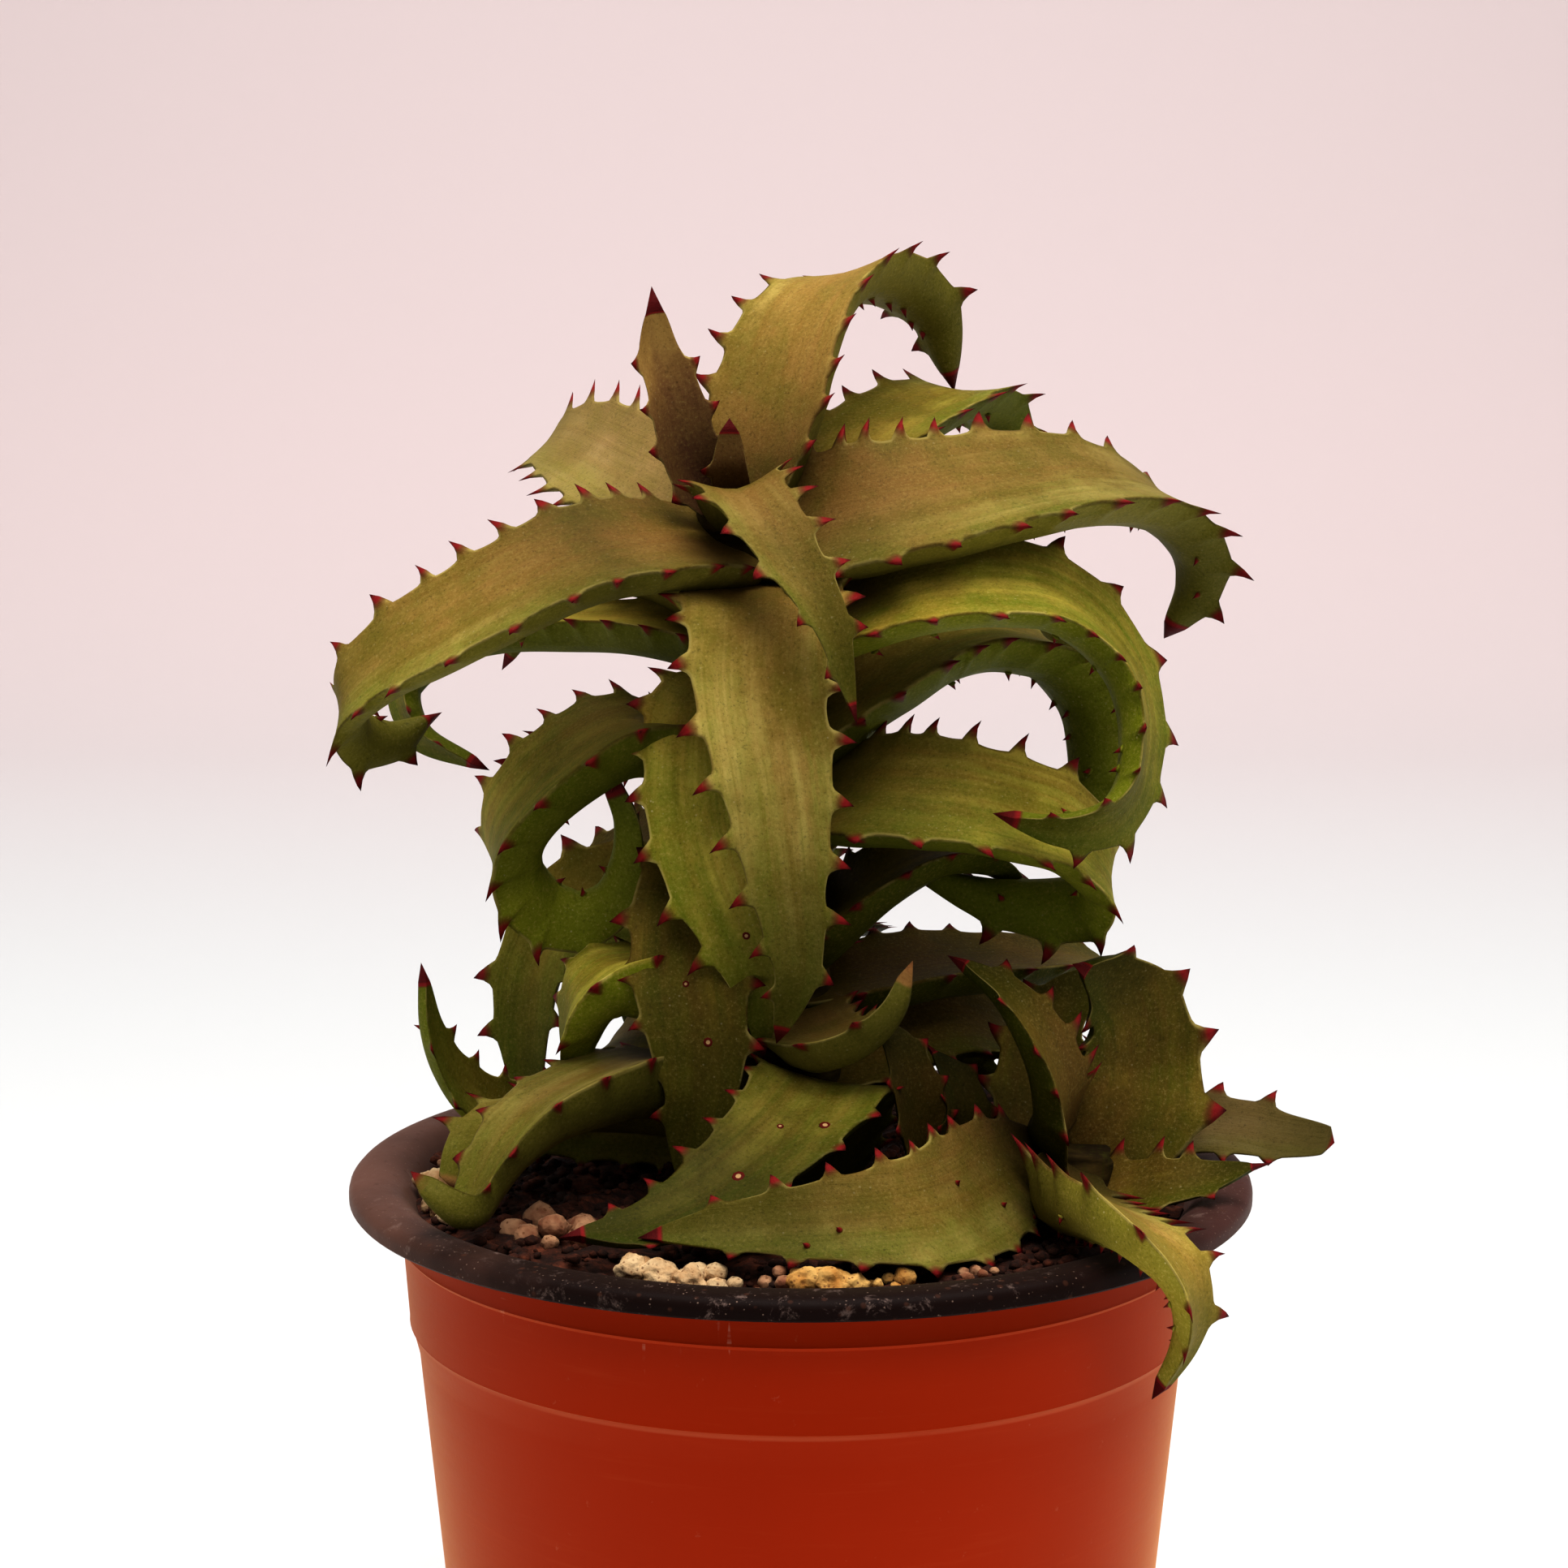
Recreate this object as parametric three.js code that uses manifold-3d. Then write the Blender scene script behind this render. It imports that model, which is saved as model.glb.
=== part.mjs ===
// A potted aloe castilloniae: a tall leafy rosette, a side rosette and a small pup,
// standing in a two-colour nursery pot filled with dark soil and pumice.
// Millimetres, +Z up. The origin is the centre of the pot's flat underside, and the
// viewer of the front stands on the -Y side.
import * as THREE from 'three';
import Module from 'manifold-3d';

const manifold = await Module();
manifold.setup();

// Free space kept where two pieces touch, and around a blade.
const GAP = 0.3;
const BLADE_GAP = 0.5;

// The pot's outer wall: a plain taper, a shoulder step and a collar up to the rolled rim.
const POT = {
  height: 106,
  rimRadius: 60,
  collarRadius: 53.2,
  collarBottomRadius: 52,
  collarBottomZ: 86.4,
  collarTopZ: 102.2,
  taperTopRadius: 51,
  taperTopZ: 82.2,
  footRadius: 43.3,
  footChamfer: 0.9,
  ridgeZ: 98,
  ridgeHeight: 0.35,
  wall: 1.1,
  floor: 1.6,
  segments: 32,
};
const DRAIN_HOLES = { count: 6, radius: 4, ring: 27, segments: 8, depth: 12 };

// The soil is filled almost to the brim.
const SOIL = { topZ: 103.2, relief: 0.5, segments: 32, rings: [0.85, 0.62, 0.34] };

// Stems as [x, y, z] points along the axis.
const STEMS = {
  main: { spine: [[1, 5, 74], [1, 5, 104], [-2, 5, 132], [-5, 5, 166], [-8, 4, 195]], radius: 5.8, steps: 6 },
  offset: { spine: [[35, -9, 84], [35, -9, 97], [36, -9, 111]], radius: 5, steps: 2 },
  pup: { spine: [[18, -12, 86], [18, -12, 97], [18.5, -12.5, 109]], radius: 3.4, steps: 1 },
};
const STEM_SIDES = 10;

// How a blade is drawn unless its own line says otherwise. Lengths are in mm, the rest
// are shares of the blade's half width or of its length.
const BLADE = {
  width: 16,
  taper: 2.6,
  tipShare: 0.08,
  rootShare: 0.8,
  rootReach: 0.18,
  thickness: 0.35,
  tipThickness: 0.28,
  channel: 0.12,
  keelShare: 0.55,
  twist: [0, 0],
  stationPitch: 8.8,
  apexLength: 1.6,
};
const TEETH = {
  first: [5, 7],
  nearPitch: 4.8,
  farPitch: 7.5,
  pitchReach: 34,
  jitter: 0.9,
  height: 2.3,
  halfBase: 1.25,
  lean: 0.35,
  lastBeforeTip: 3.5,
  fullWidth: 4.5,
};
const FRAME_STEPS = 60;

// Every blade: its spine from root to tip, the way its upper face looks at mid-length, and
// what differs from BLADE. The first ones keep their shape, and later ones give way to them.
const LEAVES = [
  { name: 'leaf_crown_front', tint: 'olive', face: [0.25, -0.85, 0.45], width: 11.5, channel: 0.35,
    taper: 1.7,
    spine: [[-8, 1, 194], [-8.5, -8, 199], [-5.5, -17, 196], [-1, -23, 189.5], [3.5, -26, 182.5],
      [6.5, -26, 171.5]] },
  { name: 'leaf_crown_bud', tint: 'young', face: [0, -1, 0], width: 5, tipShare: 0.5,
    spine: [[-9, 1, 195.5], [-9.2, -3, 199.5], [-9.2, -4, 204]] },
  { name: 'leaf_crown_young', tint: 'young', face: [0.5, -0.85, 0.2], width: 9, channel: 0.45,
    tipShare: 0.3, taper: 3,
    spine: [[-10, 2, 195], [-13.5, -1, 200], [-16.3, -3, 209], [-18.2, -4, 214.3], [-18.6, -5, 219.2]] },
  { name: 'leaf_hanging_front', tint: 'olive', face: [0, -1, 0.1], width: 22.5, taper: 1.2,
    spine: [[-6, 1, 186], [-5, -14, 183], [-5, -20, 172.5], [-3, -23, 161], [-1.5, -23, 147.5],
      [-0.5, -21, 136.5], [-2.5, -18, 128.5]] },
  { name: 'leaf_crown_left', tint: 'olive', face: [-0.2, -0.55, 0.8], width: 19.5, thickness: 0.38,
    rootShare: 0.95,
    spine: [[-9, 1, 190.5], [-19.5, -8, 191.7], [-28.5, -12, 190.2], [-36.5, -14, 186.1],
      [-45, -14, 181.4], [-53.5, -12, 176.7], [-59.8, -9, 170.3], [-59.5, -4, 165], [-54.5, 2, 163],
      [-50, 6, 165]] },
  { name: 'leaf_crown_right', tint: 'olive', face: [0.15, -0.42, 0.9], width: 20.5, taper: 2.7,
    tipShare: 0.15, twist: [-20, -15], thickness: 0.46,
    spine: [[-5, 1, 192], [6.5, -6, 195], [17, -6, 197], [28.5, -2, 199.2], [40, 4, 199],
      [49.2, 12, 195.5], [54.7, 18, 188.3], [54.6, 22, 181.5], [51.8, 24, 176.3]] },
  { name: 'leaf_crown_back', tint: 'olive', face: [-0.48, -0.58, 0.64], width: 19, taper: 2.5,
    tipShare: 0.12, twist: [0, -30], rootShare: 0.6,
    spine: [[-7.5, 3, 195], [-6.1, 4, 202], [-4.2, 7, 210.5], [-0.8, 12, 219.3], [5.2, 22, 224.8],
      [12.3, 31, 224], [18.5, 37, 218.3], [20.9, 39, 210]] },
  { name: 'leaf_crown_right_back', tint: 'green', face: [-0.2, -0.5, 0.85], width: 17, twist: [0, -25],
    spine: [[-4, 5, 192], [8, 16, 203], [16, 25, 207], [22.5, 34, 208.5], [27, 42, 206],
      [29, 46, 200.6], [29.5, 48, 194], [29, 48, 188]] },
  { name: 'leaf_crown_left_back', tint: 'green', face: [-0.6, -0.45, 0.65], width: 18, rootShare: 0.6,
    spine: [[-10, 5, 192.5], [-19, 14, 196.5], [-26.5, 26, 199.2], [-33, 40, 201.2], [-37, 52, 200],
      [-38.5, 60, 195.5]] },
  { name: 'leaf_upper_left', tint: 'green', face: [-0.1, -0.1, 1], width: 13, thickness: 0.45,
    spine: [[-8, 6, 177], [-21.5, 12, 179.4], [-31.5, 17, 179], [-41.5, 18, 177.6], [-50, 17, 174.3],
      [-55, 15, 168.5], [-52.5, 13, 162], [-44.5, 11, 158.4]] },
  { name: 'leaf_upper_right', tint: 'green', face: [0.55, -0.35, 0.75], width: 17.5, thickness: 0.38,
    twist: [0, -25],
    spine: [[-3, 2, 178], [9.5, -8, 184], [17, -10, 186], [24, -10, 186.5], [31.8, -8, 185.6],
      [38.5, -6, 181.7], [43.5, -6, 175], [45.2, -8, 168.9], [45.1, -11, 163.7], [43.5, -15, 158.4],
      [39.5, -19, 155.3], [32.6, -21, 154.7], [26.5, -21, 156.1]] },
  { name: 'leaf_upper_right_inner', tint: 'green', face: [0.3, -0.15, 0.95], width: 20.5,
    thickness: 0.4, twist: [0, -45],
    spine: [[-1.5, 3, 166], [9, 4, 174.3], [17.5, 9, 178], [26.5, 13, 178.6], [35, 17, 175.3],
      [40.2, 19, 167.8], [41, 18, 160], [39.3, 15, 152.8], [35.5, 12, 147.5]] },
  { name: 'leaf_middle_right', tint: 'green', face: [0.3, -0.6, 0.75], width: 19, thickness: 0.4,
    taper: 2.3,
    spine: [[-1, 2, 157], [9.5, -11, 159.8], [19, -14, 159.3], [27.5, -13, 157.2], [36, -10, 153.8],
      [41.5, -6, 146.8], [38.5, -1, 141.3], [27.5, 2, 141], [16.5, 5, 144]] },
  { name: 'leaf_hanging_left', tint: 'green', face: [-0.2, -1, 0.1], width: 16,
    spine: [[-7, 3, 172], [-12, -6, 169.5], [-13, -12, 160], [-11.5, -14, 150], [-8, -14, 140.5],
      [-5.5, -13, 133], [-5, -11, 125]] },
  { name: 'leaf_left_ring', tint: 'green', face: [-0.85, -0.4, 0.35], width: 15.2, thickness: 0.58,
    twist: [-15, 10], rootShare: 0.6,
    spine: [[-6, 6, 160], [-13, 3, 164.8], [-20, -1.5, 167.9], [-25.5, -4, 167.3], [-31.2, -5, 163.6],
      [-37, -3.5, 158], [-41.2, 0, 151], [-41.3, 4, 144], [-36.4, 8, 138], [-29.5, 9, 136.4],
      [-24, 8, 139.5], [-21.5, 6, 145.5], [-21.5, 3, 152.5], [-23.5, 1, 157.5]] },
  { name: 'leaf_hanging_low', tint: 'brown', face: [-0.1, -1, 0.1], width: 17,
    spine: [[-4, 4, 146], [-13, -5, 145], [-14.5, -10, 137], [-13.5, -13.5, 128.5], [-13, -14.7, 120],
      [-14.5, -14, 113.5], [-15.5, -13, 108]] },
  { name: 'leaf_low_young', tint: 'olive', face: [-0.1, -0.3, 0.95], width: 13, thickness: 0.5,
    spine: [[-1, 2, 128], [2, -12, 127.5], [5, -16, 128.5], [8.5, -18, 130.5], [11, -19, 133],
      [12.5, -19, 136]] },
  { name: 'leaf_low_centre', tint: 'green', face: [-0.3, -0.8, 0.5], width: 18,
    spine: [[2, 1, 108], [3.5, -12, 121.5], [0, -22, 120], [-5.5, -30, 116], [-13.5, -36, 111],
      [-20.5, -39, 109], [-27, -40, 108.5]] },
  { name: 'offset_leaf_front', tint: 'olive', face: [-0.1, -0.85, 0.5], width: 19.5, taper: 1.6,
    rootShare: 0.5, rootReach: 0.35,
    spine: [[33, -11, 109.5], [26.5, -22.5, 111.6], [22, -31, 111.2], [17, -38, 111], [11, -42, 111.2],
      [2.5, -44, 111.2], [-6.5, -43, 110.3], [-17.5, -42, 108.8]] },
  { name: 'offset_leaf_folded', tint: 'brown', face: [0.8, -0.45, 0.4], width: 11.5, channel: 0.3,
    rootShare: 0.5, thickness: 0.5,
    spine: [[35.5, -9.5, 112], [35.6, -16, 117], [34, -19, 124.4], [30.9, -20, 130.2],
      [26.8, -19, 134.5], [21.1, -17, 137.5]] },
  { name: 'offset_leaf_over_rim', tint: 'green', face: [0.35, 0.35, 0.87], width: 12.5, thickness: 0.53,
    rootShare: 0.6, rootReach: 0.2, twist: [0, 32],
    spine: [[35.5, -14.5, 110.3], [34.8, -20, 110.2], [35.3, -30, 112], [37.5, -39.5, 113.1], [41.2, -47.5, 112.3],
      [45.5, -51.8, 109], [47.6, -52.3, 105], [48, -51.6, 100.5], [46.8, -50, 96], [44.2, -48.2, 91.3]] },
  { name: 'offset_leaf_right_low', tint: 'brown', face: [0, -0.6, 0.8], width: 9, rootShare: 0.6,
    spine: [[36, -10, 105.5], [42.5, -13, 107], [47.5, -16, 108.5], [52.5, -17, 109.5], [58, -18, 111]] },
  { name: 'offset_leaf_broad', tint: 'brown', face: [0.35, -0.85, 0.4], width: 20.3, taper: 2.2,
    rootShare: 0.55, rootReach: 0.3,
    spine: [[36, -8, 110], [41, -7.5, 113], [44.3, -6, 117], [44.8, -4, 122], [43.8, -5, 128.2],
      [40.8, -8, 132.5], [37, -12, 135]] },
  { name: 'offset_leaf_right', tint: 'brown', face: [0, -0.65, 0.75], width: 10.3, tipShare: 0.45,
    rootShare: 0.5,
    spine: [[37, -4, 107.8], [45, 3, 109.5], [52, 4.5, 110.7], [58, 2.5, 110.9], [64, -1.5, 110.6],
      [69.3, -5, 110.9]] },
  { name: 'leaf_middle_right_under', tint: 'brown', face: [0.1, -0.1, 1], width: 15, thickness: 0.4,
    spine: [[-1, 3, 137], [9, -2, 147], [17.5, 0, 150], [25, 4, 148], [30, 8, 143.5]] },
  { name: 'leaf_low_left', tint: 'olive', face: [-0.3, -0.14, 0.95], width: 16, thickness: 0.58,
    rootShare: 0.6,
    spine: [[-3, 4, 117.5], [-12, 0.5, 121.3], [-21, -6.5, 123.5], [-28.5, -15, 122.4],
      [-34.5, -21, 120], [-38.5, -25, 116.3], [-41, -27.5, 112], [-42, -31, 110], [-44, -32.5, 111.3],
      [-46, -32.5, 113]] },
  { name: 'leaf_low_left_rough', tint: 'olive', face: [-0.5, -0.4, 0.8], width: 14, tipShare: 0.4,
    spine: [[-3, 5, 111], [-18, 4, 114], [-27, 2, 115], [-34, -4, 115.5], [-39, -11, 115.5],
      [-43, -16, 112.5], [-44.5, -18, 109]] },
  { name: 'leaf_low_left_raised', tint: 'green', face: [0.2, -0.85, 0.5], width: 11.5, thickness: 0.45,
    spine: [[-3, 9, 107], [-20, 12, 108.5], [-34.2, 9.5, 110], [-41.2, 4, 113], [-45.6, -1, 119],
      [-48, -4, 126], [-49, -4, 132]] },
  { name: 'leaf_left_low_arch', tint: 'green', face: [-0.6, -0.3, 0.7], width: 18.5, thickness: 0.55,
    rootShare: 0.6,
    spine: [[-3, 6, 131], [-13, 4, 133.8], [-20, -0.5, 135.5], [-26, -4, 135], [-30.3, -5, 131.3],
      [-32, -3, 125], [-31.5, 0, 117]] },
  { name: 'leaf_left_drooping', tint: 'green', face: [-0.6, -0.75, 0.3], width: 16, rootShare: 0.5,
    rootReach: 0.3, tipShare: 0.3,
    spine: [[-3, 7, 135], [-14, 12, 138], [-25.5, 17, 139.5], [-33.5, 20, 136.5], [-37.5, 20, 129.5],
      [-38.5, 18, 121.5], [-38, 16.5, 112.5]] },
  { name: 'leaf_left_inner', tint: 'brown', face: [-0.4, -0.5, 0.8], width: 13, rootShare: 0.6,
    spine: [[-5, 6, 153], [-14, 14, 150.5], [-21.5, 23, 147.5], [-28, 31, 143.5], [-33.5, 35, 138.5],
      [-35.5, 37, 132], [-34.5, 37, 126]] },
  { name: 'leaf_left_low_back', tint: 'brown', face: [-0.5, -0.2, 0.8], width: 11, rootShare: 0.6,
    spine: [[-3, 8, 121], [-11, 13, 121.2], [-19.5, 17.5, 121], [-25, 24, 119], [-28.5, 30, 114.5],
      [-29, 32, 109.5]] },
  { name: 'leaf_low_right', tint: 'brown', face: [0, -0.25, 0.97], width: 16, thickness: 0.4,
    spine: [[-1, 5, 130], [10, 8, 132], [19, 12, 133], [28.5, 18, 132], [36.5, 24, 130.5],
      [44, 30, 127.5], [48, 34, 121.5]] },
  { name: 'leaf_low_right_under', tint: 'brown', face: [0.1, -0.5, 0.85], width: 17,
    spine: [[1, 6, 119.5], [12.5, 12, 122.5], [21.5, 16, 123.3], [28.5, 20, 120.5], [33.5, 24, 115],
      [35, 26, 108.5]] },
  { name: 'leaf_right_behind', tint: 'brown', face: [0, -0.5, 0.8], width: 9, rootShare: 0.6,
    spine: [[-1, 7, 134], [5, 22, 135.5], [8.5, 32, 133], [12, 40, 131]] },
  { name: 'pup_leaf_left', tint: 'brown', face: [0.5, -0.7, 0.5], width: 9, channel: 0.35,
    rootShare: 0.5, rootReach: 0.3,
    spine: [[17.5, -12.5, 108], [16, -16, 117.5], [14, -16, 124], [11.5, -15, 127.5], [8, -14, 128]] },
  { name: 'pup_leaf_right', tint: 'brown', face: [0.5, -0.6, 0.5], width: 8, channel: 0.35,
    rootShare: 0.5, rootReach: 0.3,
    spine: [[20, -10.8, 109], [21.8, -11, 116.5], [20, -9.5, 121], [17.5, -7.5, 123.5]] },
  { name: 'leaf_back_high', tint: 'olive', face: [0, 0.5, 0.85], width: 16,
    spine: [[-7, 6, 185], [-8, 20, 191], [-9, 35, 190], [-9, 47, 181], [-8, 52, 168], [-7, 47, 157]] },
  { name: 'leaf_back_high_left', tint: 'olive', face: [-0.3, 0.4, 0.85], width: 15,
    spine: [[-8, 7, 181], [-18, 19, 185], [-29, 31, 183], [-38, 39, 177], [-42, 42, 170]] },
  { name: 'leaf_back_high_right', tint: 'olive', face: [0.4, 0.4, 0.8], width: 15,
    spine: [[-3, 8, 179.2], [8, 20, 185], [21, 30, 185], [32, 37, 179], [39, 40, 170]] },
  { name: 'leaf_back_middle', tint: 'green', face: [0, 0.5, 0.85], width: 16,
    spine: [[-5, 7, 163], [-6, 22, 169], [-7, 36, 167], [-7, 46, 157], [-6, 48, 145], [-5, 43, 136]] },
  { name: 'leaf_back_middle_left', tint: 'green', face: [-0.3, 0.4, 0.85], width: 14, rootShare: 0.6,
    spine: [[-7, 9, 158.5], [-18, 22, 163], [-31, 30, 160], [-40, 35, 154], [-42, 37, 149]] },
  { name: 'leaf_back_middle_right', tint: 'green', face: [0.4, 0.4, 0.8], width: 14,
    spine: [[-2, 7, 153], [9, 21, 157], [20, 32, 156], [29, 39, 150], [33, 42, 143]] },
  { name: 'leaf_back_low', tint: 'green', face: [0, 0.5, 0.85], width: 15,
    spine: [[-3, 8, 145], [-3, 22, 147.5], [-2, 35, 144], [-1, 44, 134], [0, 45, 122.5], [1, 41, 114]] },
  { name: 'leaf_back_low_left', tint: 'brown', face: [-0.3, 0.4, 0.85], width: 13,
    spine: [[-2, 8, 127], [-12, 22, 131], [-20, 34, 128], [-24, 41, 121], [-24, 43, 113]] },
  { name: 'leaf_back_low_right', tint: 'brown', face: [0.4, 0.4, 0.8], width: 13, rootShare: 0.6,
    spine: [[2, 9, 112], [11, 22, 117], [20, 32, 116.5], [27, 38, 111], [30, 40, 107]] },
  { name: 'leaf_back_soil', tint: 'brown', face: [0, 0.4, 0.9], width: 13, rootShare: 0.6,
    spine: [[-1, 10, 111.5], [-4, 22, 115.5], [-8, 35, 114], [-11, 43, 109]] },
  { name: 'offset_leaf_back', tint: 'brown', face: [0.2, 0.4, 0.9], width: 11, rootShare: 0.6,
    spine: [[35, -5, 108], [35.5, 5, 113.5], [38.5, 15, 117], [44, 26, 116.5], [48, 33, 112]] },
  { name: 'offset_leaf_back_left', tint: 'brown', face: [-0.1, -0.9, 0.45], width: 12, rootShare: 0.6,
    spine: [[33, -6, 109.5], [31.5, -1, 114.5], [32.5, 4, 121.5], [36, 7.5, 127.5], [40.5, 10, 131]] },
];

// Pumice lying on the soil: each group is a run of stones [x, y, size] pressed together.
const PUMICE = [
  { name: 'pumice_left', tint: 'pumice', stones: [[-48.6, -3, 2.6], [-46.2, -0.4, 2.5], [-43.4, 0.6, 2.2]] },
  { name: 'pumice_left_front', tint: 'pumice',
    stones: [[-47, -11, 2.3], [-46, -14.4, 2.3], [-44.6, -17.8, 2.4]] },
  { name: 'pumice_front', tint: 'pumice',
    stones: [[-20.4, -43.6, 2.3], [-17, -44.8, 2.5], [-13.4, -45.6, 2.3]] },
  { name: 'pumice_front_stone', tint: 'pumice',
    stones: [[0.4, -48, 2.3], [3.4, -47.8, 2.7], [6.2, -47.6, 2.1]] },
  { name: 'pumice_back', tint: 'pumice',
    stones: [[9, 45.4, 2.6], [12.4, 44.2, 2.7], [15.8, 43, 2.4]] },
];
const STONE = { sink: 0.35, roughness: 0.24 };

const COLOURS = {
  olive: 0x8f8c4a,
  green: 0x6f7d45,
  brown: 0x7f7448,
  young: 0x9a8256,
  stem: 0x6b4a35,
  terracotta: 0xc2563a,
  charcoal: 0x3a2f2d,
  soil: 0x3b2a22,
  pumice: 0xc9b184,
};

function piece(name, tint, geometry, roughness = 0.7) {
  const material = new THREE.MeshStandardMaterial({ color: COLOURS[tint], roughness, metalness: 0 });
  const mesh = new THREE.Mesh(geometry, material);
  mesh.name = name;
  return mesh;
}

// A repeatable number from 0 to 1 for item k of a numbered set.
function chance(seed, k) {
  const wave = Math.sin(seed * 12.9898 + k * 78.233) * 43758.5453;
  return wave - Math.floor(wave);
}

// Points of a geometry joined where they meet, as a solid that can be cut and joined.
function toSolid(geometry) {
  const flat = geometry.index ? geometry.toNonIndexed() : geometry;
  const position = flat.attributes.position;
  const seen = new Map();
  const points = [];
  const corners = [];
  for (let i = 0; i < position.count; i += 1) {
    const p = [position.getX(i), position.getY(i), position.getZ(i)];
    const key = p.map((v) => Math.round(v * 2000)).join(' ');
    if (!seen.has(key)) {
      seen.set(key, points.length / 3);
      points.push(...p);
    }
    corners.push(seen.get(key));
  }
  const faces = [];
  for (let i = 0; i < corners.length; i += 3) {
    const [a, b, c] = corners.slice(i, i + 3);
    if (a !== b && b !== c && c !== a) faces.push(a, b, c);
  }
  return solidFrom(points, faces);
}

function solidFrom(points, faces) {
  const mesh = new manifold.Mesh({
    numProp: 3,
    vertProperties: new Float32Array(points),
    triVerts: new Uint32Array(faces),
  });
  return new manifold.Manifold(mesh);
}

function toGeometry(solid) {
  const mesh = solid.getMesh();
  const geometry = new THREE.BufferGeometry();
  geometry.setAttribute('position', new THREE.BufferAttribute(new Float32Array(mesh.vertProperties), 3));
  geometry.setIndex(new THREE.BufferAttribute(new Uint32Array(mesh.triVerts), 1));
  const faceted = geometry.toNonIndexed();
  faceted.computeVertexNormals();
  return faceted;
}

function largestPart(solid) {
  const parts = solid.decompose();
  return parts.reduce((best, part) => (part.volume() > best.volume() ? part : best));
}

function boxesMeet(a, b) {
  return [0, 1, 2].every((k) => a.min[k] < b.max[k] && b.min[k] < a.max[k]);
}

// What is left of a solid after the free space around its neighbours is taken away.
function clearOf(solid, neighbours) {
  let left = solid;
  for (const other of neighbours) {
    if (boxesMeet(left.boundingBox(), other.boundingBox())) left = left.subtract(other);
  }
  return largestPart(left);
}

// A turned solid from [radius, z] points.
function turned(profile, segments) {
  const geometry = new THREE.LatheGeometry(profile.map(([r, z]) => new THREE.Vector2(r, z)), segments);
  geometry.rotateX(Math.PI / 2);
  return geometry;
}

// Cross-section frames along a blade: place, direction, the way its upper face looks and
// the way to its right-hand margin. The face is carried from mid-length without spin.
function bladeFrames(leaf) {
  const points = leaf.spine.map((p) => new THREE.Vector3(...p));
  const curve = new THREE.CatmullRomCurve3(points, false, 'centripetal');
  const places = curve.getSpacedPoints(FRAME_STEPS);
  const along = places.map((_, i) => {
    const next = places[Math.min(i + 1, FRAME_STEPS)];
    return next.clone().sub(places[Math.max(i - 1, 0)]).normalize();
  });
  const middle = FRAME_STEPS / 2;
  const faces = [];
  const start = new THREE.Vector3(...leaf.face);
  faces[middle] = start.addScaledVector(along[middle], -start.dot(along[middle])).normalize();
  const carry = (from, to) => {
    const step = places[to].clone().sub(places[from]);
    const face = reflected(faces[from], step);
    const direction = reflected(along[from], step);
    faces[to] = reflected(face, along[to].clone().sub(direction));
  };
  for (let i = middle; i < FRAME_STEPS; i += 1) carry(i, i + 1);
  for (let i = middle; i > 0; i -= 1) carry(i, i - 1);
  return places.map((place, i) => {
    const share = i / FRAME_STEPS;
    const turn = share < 0.5 ? -leaf.twist[0] * (1 - 2 * share) : leaf.twist[1] * (2 * share - 1);
    const side = along[i].clone().cross(faces[i]);
    const angle = THREE.MathUtils.degToRad(turn);
    const up = faces[i].clone().multiplyScalar(Math.cos(angle)).addScaledVector(side, Math.sin(angle));
    return { place, along: along[i], up, side: along[i].clone().cross(up) };
  });
}

function reflected(vector, mirrorNormal) {
  const size = mirrorNormal.lengthSq();
  if (size < 1e-12) return vector.clone();
  return vector.clone().addScaledVector(mirrorNormal, (-2 * vector.dot(mirrorNormal)) / size);
}

function frameAt(frames, share) {
  const place = Math.min(Math.max(share, 0), 1) * FRAME_STEPS;
  const i = Math.min(Math.floor(place), FRAME_STEPS - 1);
  const mix = (key) => frames[i][key].clone().lerp(frames[i + 1][key], place - i);
  return { place: mix('place'), along: mix('along'), up: mix('up'), side: mix('side') };
}

function halfWidth(leaf, share) {
  const body = (1 - share ** leaf.taper) ** 0.85;
  const root = leaf.rootShare + (1 - leaf.rootShare) * Math.min(share / leaf.rootReach, 1) ** 0.7;
  return (leaf.width / 2) * root * (leaf.tipShare + (1 - leaf.tipShare) * body);
}

function bladeDepth(leaf, share) {
  return leaf.thickness * leaf.width * (leaf.tipThickness + (1 - leaf.tipThickness) * (1 - share ** 2));
}

// Distances from the root at which one margin carries a tooth.
function toothPlaces(leaf, seed, sideIndex, length) {
  const places = [];
  let at = TEETH.first[sideIndex];
  while (at < length - TEETH.lastBeforeTip) {
    places.push(at);
    const pitch = TEETH.nearPitch + (TEETH.farPitch - TEETH.nearPitch) * Math.min(1, at / TEETH.pitchReach);
    at += pitch + TEETH.jitter * (chance(seed, sideIndex * 50 + places.length) - 0.5);
  }
  return places;
}

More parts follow.
